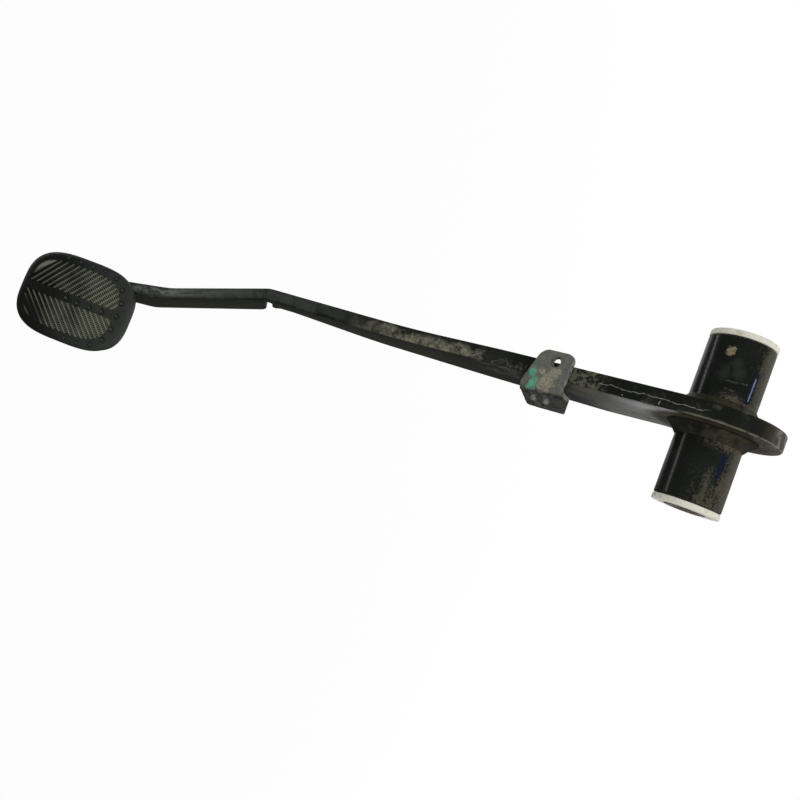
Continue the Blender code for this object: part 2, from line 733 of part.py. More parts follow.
def foot_weld_run(root, down):
    """Distances down the foot between which the bead clears the rubber's lip and the tip."""
    to_pad = pad_matrix().inverted()
    inset = PAD_WALL + PAD_LIP + FOOT_WELD_CLEAR
    half_width, half_length = PAD_WIDTH / 2 - inset, PAD_LENGTH / 2 - inset
    end = foot_reach() - FOOT_WELD_SHORT
    steps = 400
    clear = []
    for i in range(steps + 1):
        run = end * i / steps
        place = to_pad @ (root + down * run)
        reach = (abs(place.x / half_width) ** PAD_SQUARENESS
                 + abs(place.y / half_length) ** PAD_SQUARENESS)
        if reach < 1:
            clear.append(run)
    return clear[0], clear[-1]


def build_foot_weld(steel):
    """A bead down the foot's right side, in its corner with the plate."""
    top, down = foot_line()
    thick = Vector((math.cos(FOLD_TURN), 0, math.sin(FOLD_TURN)))
    wall = -PAD_NORMAL
    wall = (wall - thick * wall.dot(thick)).normalized()
    floor = PAD_NORMAL.cross(down).normalized()
    root = top + thick * (ARM_THICKNESS / 2 + SEAT_GAP)
    ends = []
    for run in foot_weld_run(root, down):
        place = root + down * run
        depth = (PAD_MIDDLE - place).dot(PAD_NORMAL) - PLATE_THICKNESS - SEAT_GAP
        ends.append(place - wall * depth / wall.dot(-PAD_NORMAL))
    fillet_bar("foot_weld", ends[0], ends[1], wall, floor, FOOT_WELD_LEG, steel)


def build_lip_cutter():
    """Slot in the pad's back lip where the arm's foot passes to the plate."""
    half = ARM_THICKNESS / 2 + LIP_NOTCH_CLEARANCE
    bend = foot_corner()
    front = ARM_FRONT_SHOULDER[0]
    along = Vector((-math.sin(FOOT_TURN), math.cos(FOOT_TURN)))
    across = Vector((math.cos(FOOT_TURN), math.sin(FOOT_TURN)))
    corner = Vector((front, bend))
    end = foot_reach() + LIP_NOTCH_CLEARANCE
    bm = bmesh.new()
    rings = []
    for x in (-half, half):
        ring = []
        for run, depth in ((-FOOT_BEND_RADIUS, -SEAT_GAP), (end, -SEAT_GAP),
                           (end, STEM_DEPTH), (-FOOT_BEND_RADIUS, STEM_DEPTH)):
            y, s = corner + along * run + across * depth
            ring.append(bm.verts.new(folded(x, y, s)))
        rings.append(ring)
    join_rings(bm, rings, close_path=False)
    return as_cutter(add_object("cut_lip_slot", bm))


def build_pad(rubber):
    """Moulded rubber cover: tread, rounded edge, and a lip that grips behind the plate."""
    back = -PLATE_THICKNESS - SEAT_GAP
    heel = back - PAD_LIP_THICKNESS
    front = TREAD_THICKNESS
    r = PAD_EDGE_ROUND
    levels = []
    for degrees in (90, 60, 30, 0):
        angle = math.radians(degrees)
        levels.append((r * (1 - math.cos(angle)), front - r * (1 - math.sin(angle))))
    low = r * 0.7
    for degrees in (0, 45, 90):
        angle = math.radians(degrees)
        levels.append((low * (1 - math.cos(angle)), heel + low * (1 - math.sin(angle))))
    levels += [(PAD_WALL + PAD_LIP, heel), (PAD_WALL + PAD_LIP, back), (PAD_WALL, back),
               (PAD_WALL, SEAT_GAP)]
    bm = bmesh.new()
    join_rings(bm, ring_stack(bm, pad_outline, levels), close_path=False)
    pad = add_object("pad_rubber", bm, rubber)
    pad.matrix_local = pad_matrix()
    boolean(pad, build_lip_cutter(), "DIFFERENCE")
    boolean(pad, build_tread_cutter(), "DIFFERENCE")
    boolean(pad, build_pips(), "UNION")


def build_pedal():
    clear_scene()
    black_paint = make_material("black_paint", (0.012, 0.013, 0.013), 0.32, 0.0)
    cream_plastic = make_material("cream_plastic", (0.58, 0.56, 0.46), 0.5, 0.0)
    bare_steel = make_material("bare_steel", (0.30, 0.28, 0.25), 0.45, 1.0)
    black_rubber = make_material("black_rubber", (0.02, 0.021, 0.02), 0.6, 0.0)

    arm = build_arm(black_paint)
    bracket = build_bracket(black_paint)
    bore_pin_hole((arm, bracket))
    build_bracket_weld(black_paint)
    build_foot_plate(black_paint)
    build_foot_weld(black_paint)
    build_pad(black_rubber)
    build_pivot(black_paint, cream_plastic)

    swing = bpy.data.objects.new("pedal_swing", None)
    swing.rotation_euler.x = math.radians(HANG_ANGLE)
    for item in bpy.context.scene.objects:
        item.parent = swing
    bpy.context.scene.collection.objects.link(swing)
    build_sleeve(bare_steel)


build_pedal()
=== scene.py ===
import math

import bmesh
import bpy
import numpy as np
from mathutils import Matrix, Vector


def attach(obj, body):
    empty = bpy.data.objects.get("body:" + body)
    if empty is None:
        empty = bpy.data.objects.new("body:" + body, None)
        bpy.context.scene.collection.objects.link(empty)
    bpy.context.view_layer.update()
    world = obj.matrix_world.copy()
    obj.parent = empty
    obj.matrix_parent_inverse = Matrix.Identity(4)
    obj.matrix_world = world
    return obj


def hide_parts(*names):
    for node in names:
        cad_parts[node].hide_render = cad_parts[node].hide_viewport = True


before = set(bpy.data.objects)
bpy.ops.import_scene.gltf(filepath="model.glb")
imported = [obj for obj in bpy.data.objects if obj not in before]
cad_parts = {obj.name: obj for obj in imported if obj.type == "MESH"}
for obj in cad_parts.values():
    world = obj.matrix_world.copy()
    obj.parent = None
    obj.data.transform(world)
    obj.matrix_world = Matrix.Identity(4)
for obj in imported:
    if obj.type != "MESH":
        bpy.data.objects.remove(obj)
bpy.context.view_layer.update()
print("frame loaded")

# Sizes are in metres. The pedal is drawn with its eye at the origin and its arm straight down,
# then swung to the angle at which it hangs.
hangAngle = math.radians(-1.03)
seatGap = 0.0003


# Shaping tools in numpy

def unit(vectors):
    return vectors / np.linalg.norm(vectors, axis=-1, keepdims=True)


def turned(points, angle):
    # turn about the X axis
    c, s = math.cos(angle), math.sin(angle)
    return points @ np.array(((1, 0, 0), (0, c, s), (0, -s, c)))


def hang(points):
    # from the straight drawing to the angle at which the pedal hangs
    return turned(points, hangAngle)


def circle(count):
    # points of the unit circle round the X axis
    angle = np.linspace(0, 2 * math.pi, count, endpoint=False)
    return np.stack((np.zeros(count), np.cos(angle), np.sin(angle)), -1)


def step(values, low, high):
    # 0 below low, 1 above high, and an S-shaped rise between
    t = np.clip((values - low) / (high - low), 0, 1)
    return t * t * (3 - 2 * t)


def ripples(points, scale, seed, layers=4):
    # a smooth uneven field: the sum of sine waves that run in different directions
    spin = np.random.default_rng(seed)
    total = np.zeros(points.shape[:-1])
    for k in range(layers * 3):
        direction = unit(spin.normal(size=3))
        pitch = scale * 1.7 ** -(k // 3)
        wave = np.sin(points @ direction * (2 * math.pi / pitch) + spin.uniform(0, 6.28))
        total += wave * 1.6 ** -(k // 3)
    return total / 3


def cornerArc(before, corner, after, radius, bend=0.06):
    # the arc of the given radius that touches both runs at a corner
    a, b = unit(before - corner), unit(after - corner)
    opening = math.acos(float(np.clip(a @ b, -1, 1)))
    if radius <= 0 or math.pi - opening < 1e-4:
        return corner[None, :]
    centre = corner + unit(a + b) * radius / math.sin(opening / 2)
    start = corner + a * radius / math.tan(opening / 2) - centre
    end = corner + b * radius / math.tan(opening / 2) - centre
    turn = math.copysign(math.pi - opening, start[0] * end[1] - start[1] * end[0])
    angle = np.linspace(0, turn, max(3, int((math.pi - opening) / bend) + 2))
    c, s = np.cos(angle), np.sin(angle)
    return centre + np.stack((c * start[0] - s * start[1], s * start[0] + c * start[1]), -1)


def roundedLine(corners, closed=False):
    # straight runs whose corners (x, y, radius) are swapped for arcs;
    # an open line starts at its first corner and ends with the arc before its last
    places = [np.array(c[:2], float) for c in corners]
    count = len(places)
    line, marks = ([], []) if closed else ([places[0][None, :]], [0])
    for i in range(0 if closed else 1, count if closed else count - 1):
        arc = cornerArc(places[i - 1], places[i], places[(i + 1) % count], corners[i][2])
        marks.append(sum(len(part) for part in line) + len(arc) // 2)
        line.append(arc)
    return np.concatenate(line), marks


def runLength(line):
    # distance from the start of a line to each of its points
    return np.concatenate(([0], np.cumsum(np.linalg.norm(np.diff(line, axis=0), axis=1))))


def pointsAt(line, wanted):
    # places at the wanted distances along a line
    length = runLength(line)
    return np.stack([np.interp(wanted, length, line[:, k]) for k in range(line.shape[1])], -1)


def tangents(ring):
    # direction of a closed line at each of its points
    ahead = unit(np.roll(ring, -1, axis=0) - ring)
    return unit(ahead + np.roll(ahead, 1, axis=0))


def gridFaces(rows, columns, start, wrapRows, wrapColumns):
    # point numbers round every quad of a grid that is stored row by row
    i = np.arange(rows if wrapRows else rows - 1)[:, None]
    j = np.arange(columns if wrapColumns else columns - 1)[None, :]
    nextRow, nextColumn = (i + 1) % rows, (j + 1) % columns
    around = (i * columns + j, i * columns + nextColumn,
              nextRow * columns + nextColumn, nextRow * columns + j)
    return np.stack(np.broadcast_arrays(*around), -1).reshape(-1, 4) + start


def shadeSmooth(mesh, sharp=35):
    # smooth but for edges that turn by more than this many degrees
    mesh.shade_smooth()
    mesh.set_sharp_from_angle(angle=math.radians(sharp))


def pieceFrom(name, data):
    piece = bpy.data.objects.new(name, data)
    bpy.context.scene.collection.objects.link(piece)
    return piece


def skinPiece(name, grids, sharp=35):
    # one closed skin out of several grids (points, wraps rows, wraps columns) that share their borders
    points, faces, total = [], [], 0
    for grid, wrapRows, wrapColumns in grids:
        rows, columns = grid.shape[:2]
        faces.append(gridFaces(rows, columns, total, wrapRows, wrapColumns))
        points.append(grid.reshape(-1, 3))
        total += rows * columns
    points, faces = np.concatenate(points), np.concatenate(faces)
    mesh = bpy.data.meshes.new(name)
    mesh.vertices.add(len(points))
    mesh.vertices.foreach_set("co", points.ravel().astype(np.float32))
    mesh.loops.add(faces.size)
    mesh.loops.foreach_set("vertex_index", faces.ravel().astype(np.int32))
    mesh.polygons.add(len(faces))
    mesh.polygons.foreach_set("loop_start", np.arange(0, faces.size, 4, dtype=np.int32))
    mesh.update(calc_edges=True)
    bm = bmesh.new()
    bm.from_mesh(mesh)
    bmesh.ops.remove_doubles(bm, verts=bm.verts, dist=2e-6)
    bmesh.ops.dissolve_degenerate(bm, edges=bm.edges, dist=1e-7)
    bmesh.ops.recalc_face_normals(bm, faces=bm.faces)
    bm.to_mesh(mesh)
    bm.free()
    shadeSmooth(mesh, sharp)
    return pieceFrom(name, mesh)


def finishModifiers(piece):
    # put the result of the modifiers into the mesh
    graph = bpy.context.evaluated_depsgraph_get()
    mesh = bpy.data.meshes.new_from_object(piece.evaluated_get(graph))
    old = piece.data
    piece.modifiers.clear()
    piece.data = mesh
    bpy.data.meshes.remove(old)
    mesh.name = piece.name
    shadeSmooth(mesh)


def drill(piece, holes):
    # holes are (start, end, radius, chamfer): a rod with a cone at each end of it, and a wide
    # collar past the cone, so that neither ends in the face that it cuts
    past, flare = 0.004, 0.0002
    cutters = []
    for start, end, radius, chamfer in holes:
        start, end = np.array(start), np.array(end)
        axis = unit(end - start)
        side = unit(np.cross(axis, (0.3, 0.5, 0.81)))
        other = np.cross(axis, side)
        reach = np.linalg.norm(end - start)
        along = np.array((-past, 0, chamfer, reach - chamfer, reach, reach + past))
        wide = radius + chamfer + flare
        radii = np.array((wide, wide, radius, radius, wide, wide))
        ring = circle(96)[:, 1:] @ np.stack((side, other))
        skin = start + along[:, None, None] * axis + radii[:, None, None] * ring[None]
        caps = [np.stack((np.broadcast_to(end.mean(0), end.shape), end)) for end in (skin[0], skin[-1])]
        cutters.append(skinPiece("drill", [(skin, False, True)] + [(cap, False, True) for cap in caps]))
        cut = piece.modifiers.new("hole", "BOOLEAN")
        cut.operation, cut.solver, cut.object = "DIFFERENCE", "EXACT", cutters[-1]
    finishModifiers(piece)
    for cutter in cutters:
        bpy.data.meshes.remove(cutter.data)


def storeOnPoints(piece, **layers):
    for name, values in layers.items():
        kind, key = ("FLOAT_VECTOR", "vector") if values.ndim == 2 else ("FLOAT", "value")
        layer = piece.data.attributes.new(name, kind, "POINT")
        layer.data.foreach_set(key, values.ravel().astype(np.float32))


def vectorsOf(items, key="co"):
    values = np.empty(len(items) * 3, np.float32)
    items.foreach_get(key, values)
    return values.reshape(-1, 3).astype(float)


# Shader tools

def mathNode(operation, swapped=False):
    # an operator that adds a Math node, swapped where the node's output stands second
    def act(first, *others):
        terms = (first, *others)
        return first.maker.sum(operation, *(terms[::-1] if swapped else terms))
    return act


class Lead:
    # what comes out of a node; a sum on it adds a Math node to the same tree
    def __init__(self, maker, socket):
        self.maker, self.socket = maker, socket

    __add__ = __radd__ = mathNode("ADD")
    __mul__ = __rmul__ = mathNode("MULTIPLY")
    __sub__, __rsub__ = mathNode("SUBTRACT"), mathNode("SUBTRACT", True)
    __pow__, __abs__ = mathNode("POWER"), mathNode("ABSOLUTE")


class NodeMaker:
    # makes the nodes of one tree, of a material or of the world
    def __init__(self, tree):
        self.tree = tree

    def node(self, kind, settings=None, sockets=None, out=0):
        node = self.tree.nodes.new(kind)
        for key, value in (settings or {}).items():
            setattr(node, key, value)
        for key, value in (sockets or {}).items():
            self.plug(node.inputs[key], value)
        return Lead(self, node.outputs[out])

    def plug(self, socket, value):
        if isinstance(value, Lead):
            self.tree.links.new(value.socket, socket)
        elif isinstance(value, tuple) and len(value) == 3 and socket.type == "RGBA":
            socket.default_value = (*value, 1)
        else:
            socket.default_value = value

    def sum(self, operation, *terms):
        return self.node("ShaderNodeMath", {"operation": operation}, dict(enumerate(terms)))

    def larger(self, first, *others):
        for other in others:
            first = self.sum("MAXIMUM", first, other)
        return first

    def smaller(self, a, b):
        return self.sum("MINIMUM", a, b)

    def fade(self, value, low, high, top=1.0):
        # 0 below low, top above high; low may be the larger of the two
        return self.node("ShaderNodeMapRange", {"interpolation_type": "SMOOTHSTEP"},
                         {"Value": value, "From Min": low, "From Max": high, "To Max": top})

    def between(self, value, low, lowFull, highFull, high):
        # 1 between the two inner values, 0 outside the outer two
        return self.fade(value, low, lowFull) * self.fade(value, high, highFull)

    def most(self, make, places, *rest):
        # the strongest of several spots or scratches
        return self.larger(*(make(*place, *rest) for place in places))

    def vectors(self, operation, a, b, out="Vector"):
        return self.node("ShaderNodeVectorMath", {"operation": operation}, {0: a, 1: b}, out)

    def length(self, vector):
        return self.node("ShaderNodeVectorMath", {"operation": "LENGTH"}, {0: vector}, "Value")

    def parts(self, vector):
        split = self.node("ShaderNodeSeparateXYZ", None, {0: vector}).socket.node
        return [Lead(self, split.outputs[k]) for k in range(3)]

    def rays(self, *kinds):
        # 1 for rays of the named kinds
        path = self.node("ShaderNodeLightPath").socket.node
        return self.larger(*(Lead(self, path.outputs[kind]) for kind in kinds))


class Finish(NodeMaker):
    # one material, built round its Principled shader
    def __init__(self, name):
        self.material = bpy.data.materials.new(name)
        self.material.use_nodes = True
        super().__init__(self.material.node_tree)
        self.shader = self.tree.nodes["Principled BSDF"]
        self.object = self.node("ShaderNodeTexCoord", out="Object")

    def noise(self, scale, detail=3.0, rough=0.55, at=None):
        return self.node("ShaderNodeTexNoise", None, {
            "Vector": at or self.object, "Scale": scale, "Detail": detail, "Roughness": rough}, "Fac")

    def grains(self, at, *scales):
        # cloudy, patchy, fine and gritty noise, as many of them as there are scales
        kinds = ((5.0, 0.6), (5.0, 0.65), (4.0, 0.65), (3.0, 0.7))
        return [self.noise(scale, *kind, at) for scale, kind in zip(scales, kinds)]

    def noise1D(self, value, scale, detail):
        return self.node("ShaderNodeTexNoise", {"noise_dimensions": "1D"},
                         {"W": value, "Scale": scale, "Detail": detail}, "Fac")

    def stretched(self, scale, at=None, shift=(0, 0, 0)):
        return self.node("ShaderNodeMapping", None, {
            "Vector": at or self.object, "Scale": scale, "Location": shift})

    def attribute(self, name, out="Fac"):
        return self.node("ShaderNodeAttribute", {"attribute_name": name}, None, out)

    def spot(self, centre, radii, soft=0.5, at=None, ragged=0.0, scale=200.0):
        # 1 inside an ellipsoid and 0 outside, with a soft or ragged rim
        moved = self.vectors("SUBTRACT", at or self.object, centre)
        reach = self.length(self.vectors("DIVIDE", moved, radii))
        if ragged:
            reach = reach + (self.noise(scale, 4.0, at=at) - 0.5) * ragged
        return self.fade(reach, 1.0, 1.0 - soft)

    def scratch(self, start, end, width, at=None, ragged=0.0, scale=900.0, soft=0.6):
        # 1 along a straight run from start to end, 0 further off than its width
        run = np.array(end) - np.array(start)
        moved = self.vectors("SUBTRACT", at or self.object, tuple(start))
        along = self.vectors("DOT_PRODUCT", moved, tuple(run / (run @ run)), "Value")
        along = self.smaller(self.larger(along, 0.0), 1.0)
        foot = self.node("ShaderNodeVectorMath", {"operation": "SCALE"}, {0: tuple(run), "Scale": along})
        reach = self.length(self.vectors("SUBTRACT", moved, foot))
        if ragged:
            reach = reach + (self.noise(scale, 4.0, at=at) - 0.5) * (ragged * width)
        return self.fade(reach, width, width * (1 - soft))

    def mix(self, factor, first, second):
        node = self.tree.nodes.new("ShaderNodeMix")
        node.data_type = "RGBA"
        for key, value in ((0, factor), (6, first), (7, second)):
            self.plug(node.inputs[key], value)
        return Lead(self, node.outputs[2])

    def coats(self, colour, *layers):
        # layers are (how much, colour), each laid over the last
        for amount, over in layers:
            colour = self.mix(amount, colour, over)
        return colour

    def surface(self, colour, rough, specular, *layers):
        # layers are (height, metres at height 1); the last is the outermost
        values = {"Base Color": colour, "Roughness": rough, "Specular IOR Level": specular}
        for height, distance in layers:
            below = {"Normal": values["Normal"]} if "Normal" in values else {}
            values["Normal"] = self.node("ShaderNodeBump", None, {
                "Height": height, "Strength": 1.0, "Distance": distance, **below})
        for name, value in values.items():
            self.plug(self.shader.inputs[name], value)
        return self.material


# Pedal arm

armShape = {
    "thickness": 0.007, "edgeRound": 0.0010,
    "eyeRadius": 0.026, "eyeLeaveAngle": 28.0, "eyeLeaveRun": 0.009, "neckRound": 0.010,
    # corners of the outline: towards the rear, down the arm, and their rounding
    "frontKnee": (-0.0125, 0.090, 0.150), "frontShoulder": (-0.0005, 0.147, 0.180),
    "rearHeel": (0.0268, 0.050, 0.040), "rearBelly": (0.0297, 0.112, 0.300),
    "rearTaperStart": (0.0285, 0.181, 0.080), "rearTaperEnd": (0.0138, 0.229, 0.008),
    "stemDepth": 0.0165, "foldStart": 0.2378, "foldAngle": 12.5, "foldRadius": 0.020,
    "footBendRadius": 0.024, "footReach": 0.056, "footEndDepth": 0.009,
    "footRearDrop": 0.025, "footRearBend": 0.008, "footFrontRound": 0.003, "footRearRound": 0.005,
    "notchLip": 0.2468, "notchAngle": 38.0, "notchWidth": 0.0031, "notchLength": 0.0116,
    "notchTopRound": 0.0020, "notchLipRound": 0.0060,
    "boreRadius": 0.0133, "boreChamfer": 0.0003, "pinChamfer": 0.0005,
    # the grid: columns, points round the eye, where the rest is divided, and rows in each part
    "columns": 14, "eyeRows": 80,
    "stations": (0.0270, 0.0500, 0.1120, 0.1800, 0.2240, 0.2315, 0.2358, 0.2392, 0.2520),
    "rowCounts": (60, 18, 26, 44, 48, 44, 16, 24, 10, 36, 60, 40, 14),
}
padPlace = {"centre": (0.0398, -0.0238, -0.3545), "tilt": 25.0, "plate": 0.0025}
padTilt = math.radians(padPlace["tilt"])
padNormal = np.array((0, -math.cos(padTilt), math.sin(padTilt)))
foldTurn = math.radians(armShape["foldAngle"])
footTurn = math.atan(math.tan(padTilt) * math.cos(foldTurn))  # so that the foot lies along the pad


def folded(flat):
    # flat points (x, y, distance down the arm); past the fold's start they swing towards +X
    # on an arc, then run straight at the fold's angle
    x, y, s = flat[..., 0], flat[..., 1], flat[..., 2]
    start, radius = armShape["foldStart"], armShape["foldRadius"]
    past = np.maximum(s - start, 0)
    turn = np.minimum(past / radius, foldTurn)
    straight = np.maximum(past - radius * foldTurn, 0)
    inner = radius - x
    return np.stack((radius - inner * np.cos(turn) + straight * np.sin(turn), y,
                     -np.minimum(s, start) - inner * np.sin(turn) - straight * np.cos(turn)), -1)


def footCorner():
    # how far down the arm its front edge meets the back of the foot plate
    lean = armShape["thickness"] / 2 * math.sin(padTilt) * math.sin(foldTurn)
    back = np.array(padPlace["centre"]) - padNormal * (padPlace["plate"] + seatGap + lean)
    front = armShape["frontShoulder"][0]
    z = back[2] - (front - back[1]) * padNormal[1] / padNormal[2]
    foldEnd = armShape["foldStart"] + armShape["foldRadius"] * foldTurn
    return foldEnd + (folded(np.array((0, 0, foldEnd)))[2] - z) / math.cos(foldTurn)


def eyeTouch():
    # angle on the eye where the straight front edge from the knee touches it
    y, s = armShape["frontKnee"][:2]
    return math.atan2(-s, y) - math.acos(armShape["eyeRadius"] / math.hypot(y, s)) + 2 * math.pi


def armEdges():
    # front and rear edge from the top of the eye to the end of the foot, as (y, -s) points,
    # laid out in rows so that point i of one faces point i of the other
    a = armShape
    r = a["eyeRadius"]
    leave = -math.radians(a["eyeLeaveAngle"])
    leavePoint = r * np.array((math.cos(leave), math.sin(leave)))
    neck = leavePoint + a["eyeLeaveRun"] * np.array((math.sin(leave), -math.cos(leave)))
    touch = eyeTouch()
    touchPoint = r * np.array((math.cos(touch), math.sin(touch)))
    front = a["frontShoulder"][0]
    rear = front + a["stemDepth"]

    slant = math.radians(a["notchAngle"])
    inward = np.array((-math.cos(slant), math.sin(slant)))
    lip = np.array((a["rearTaperEnd"][0], -a["notchLip"]))
    floorTop = lip + inward * a["notchLength"]
    floorLow = floorTop + np.array((-inward[1], inward[0])) * a["notchWidth"]
    lowLip = floorLow - inward * (rear - floorLow[0]) / math.cos(slant)

    bend = footCorner()
    frontBend = np.array((front, -bend))
    frontTip = frontBend + a["footReach"] * np.array((-math.sin(footTurn), -math.cos(footTurn)))
    rearTip = frontTip + a["footEndDepth"] * np.array((math.cos(footTurn), -math.sin(footTurn)))

    corners = {key: np.array(a[key]) * (1, -1, 1) for key in (
        "frontKnee", "frontShoulder", "rearHeel", "rearBelly", "rearTaperStart", "rearTaperEnd")}
    floorRound = a["notchWidth"] * 0.49  # just less than half, so that the two arcs don't meet
    rearRuns, rearMarks = roundedLine([
        (*leavePoint, 0), (*neck, a["neckRound"]), corners["rearHeel"], corners["rearBelly"],
        corners["rearTaperStart"], corners["rearTaperEnd"], (*lip, a["notchTopRound"]),
        (*floorTop, floorRound), (*floorLow, floorRound), (*lowLip, a["notchLipRound"]),
        (rear, -bend - a["footRearDrop"], a["footRearBend"]), (*rearTip, a["footRearRound"]),
        (*frontTip, 0)])
    frontRuns, frontMarks = roundedLine([
        (*touchPoint, 0), corners["frontKnee"], corners["frontShoulder"],
        (*frontBend, a["footBendRadius"]), (*frontTip, a["footFrontRound"]), (*rearTip, 0)])

    top = math.pi / 2
    edges = []
    for end, runs in ((leave, rearRuns), (touch, frontRuns)):
        angle = np.linspace(top, end, a["eyeRows"])
        arc = r * np.stack((np.cos(angle), np.sin(angle)), -1)
        edges.append(np.concatenate((arc, runs[1:])))
    rearEdge, frontEdge = edges
    rearLength, frontLength = runLength(rearEdge), runLength(frontEdge)
    off = a["eyeRows"] - 1  # the point where both edges leave the eye
    rearAt = [0, rearLength[off]] + [rearLength[off + m] for m in rearMarks[1:]] + [rearLength[-1]]
    frontAt = [0, frontLength[off]]
    for s in a["stations"]:
        frontAt.append(np.interp(s, -frontEdge[off:, 1], frontLength[off:]))
    frontAt += [frontLength[off + frontMarks[3]], frontLength[off + frontMarks[4]], frontLength[-1]]
    counts = a["rowCounts"]
    rows = [np.linspace(i, i + 1, n, endpoint=False) for i, n in enumerate(counts)] + [[len(counts)]]
    rows = np.concatenate(rows)
    marks = np.arange(len(counts) + 1)
    return (pointsAt(frontEdge, np.interp(rows, marks, frontAt)),
            pointsAt(rearEdge, np.interp(rows, marks, rearAt)))


def armSkin():
    # The plate before it is folded: two flat faces of straight rows between the edges, and a rim
    # that is carried round the outline as a band with a quarter round at each side.
    front, rear = armEdges()
    columns = armShape["columns"]
    half = armShape["thickness"] / 2
    share = np.linspace(0, 1, columns)[:, None]
    end = front[-1] + (rear[-1] - front[-1]) * share[1:-1]
    ring = np.concatenate((front, end, rear[::-1][:-1]))
    tangent = tangents(ring)
    inward = np.stack((-tangent[:, 1], tangent[:, 0]), -1)

    n = len(front)
    r = armShape["edgeRound"]
    angle = np.linspace(math.pi / 2, 0, 7)
    inset = r * (1 - np.cos(angle))
    level = half - r * (1 - np.sin(angle))
    inset = np.concatenate((inset, inset[::-1]))
    level = np.concatenate((level, -level[::-1]))
    line = ring[:, None] + inward[:, None] * inset[:, None]
    rim = np.concatenate((np.broadcast_to(level[:, None], line.shape[:2] + (1,)), line), -1)

    frontInset = line[:n, 0]
    rearInset = np.concatenate((line[:1, 0], line[n + columns - 2:, 0][::-1]))
    width = np.linalg.norm(rearInset - frontInset, axis=1)[:, None]
    tight = np.minimum(0.0002 / np.maximum(width, 1e-9), 0.04)
    across = tight + (1 - 2 * tight) * np.linspace(0, 1, columns - 2)[None, :]
    across = np.concatenate((np.zeros((n, 1)), across, np.ones((n, 1))), 1)
    across[-1] = np.linspace(0, 1, columns)  # the last row lies on the end's own points
    plane = frontInset[:, None] + (rearInset - frontInset)[:, None] * across[..., None]
    faces = [np.concatenate((np.full(plane.shape[:2] + (1,), x), plane), -1) for x in (half, -half)]

    return skinPiece("armPlate", [(rim, True, False), (faces[0], False, False), (faces[1], False, False)])


# Switch and pushrod bracket

bracketShape = {
    "sheet": 0.0020, "station": 0.065, "forkGap": 0.0058, "bendRadius": 0.0030, "pastArm": 0.0041,
    "flapFree": (-0.0055, 0.0102), "flapRoot": (-0.0104, 0.0092),
    "webRoot": (-0.0112, 0.0120), "webEnd": (-0.0287, -0.0085), "webLength": 0.0370,
    "corner": 0.0036, "dartShares": (0.19, 0.47), "dartHeight": 0.0014, "dartWidth": 0.0017,
    "dartLength": 0.028, "dartLead": 0.003,
    "switchHole": 0.0037, "switchPlace": (0.0046, 0.0026), "pinHole": 0.0082, "pinFromEnd": 0.0095,
    "holeChamfer": 0.0003, "edgeRound": 0.00045, "uneven": 0.00012,
    # points round a corner, along the flap, round the bend and down the web; points across
    "rowCounts": (9, 14, 13, 52), "columns": 56,
}
flapLength = (bracketShape["pastArm"] + armShape["thickness"] + bracketShape["forkGap"]
              + bracketShape["sheet"] / 2 - bracketShape["bendRadius"])
flapStart = -armShape["thickness"] / 2 - bracketShape["pastArm"]
bendLength = bracketShape["bendRadius"] * math.pi / 2


def bracketFrame():
    # x is +X, y runs up the arm's front edge, z points at the driver
    touch = eyeTouch()
    top = armShape["eyeRadius"] * np.array((math.cos(touch), math.sin(touch)))
    knee = np.array((armShape["frontKnee"][0], -armShape["frontKnee"][1]))
    slope = unit(top - knee)
    share = (bracketShape["station"] + top[1]) / (top[1] - knee[1])
    origin = top + (knee - top) * share
    x, y = np.array((1.0, 0, 0)), np.array((0, *slope))
    return np.array((0, *origin)), np.stack((x, y, np.cross(x, y)))


bracketOrigin, bracketAxes = bracketFrame()


def onBracket(local):
    return bracketOrigin + local @ bracketAxes


def sheetPoint(along, across, lift):
    # along runs over the flap, round the bend and down the web; across runs up the arm
    b = bracketShape
    level = seatGap + b["sheet"] / 2
    turn = np.clip((along - flapLength) / b["bendRadius"], 0, math.pi / 2)
    straight = np.maximum(along - flapLength - bendLength, 0)
    reach = b["bendRadius"] + lift
    x = flapStart + np.minimum(along, flapLength) + reach * np.sin(turn)
    z = level - b["bendRadius"] + reach * np.cos(turn) - straight
    return np.stack((x, across, z), -1)


def sheetEdges(along):
    # lower and upper edge of the sheet before it is bent, its corners rounded
    b = bracketShape
    root = flapLength + bendLength
    total = root + b["webLength"]
    stations = (0, flapLength, root, total)
    edges = np.array([b[k] for k in ("flapFree", "flapRoot", "webRoot", "webEnd")])
    low, high = (np.interp(along, stations, edges[:, side]) for side in (0, 1))
    run = np.maximum(b["corner"] - np.minimum(along, total - along), 0)
    cut = b["corner"] - np.sqrt(np.maximum(b["corner"] ** 2 - run ** 2, 0))
    return low + cut, high - cut


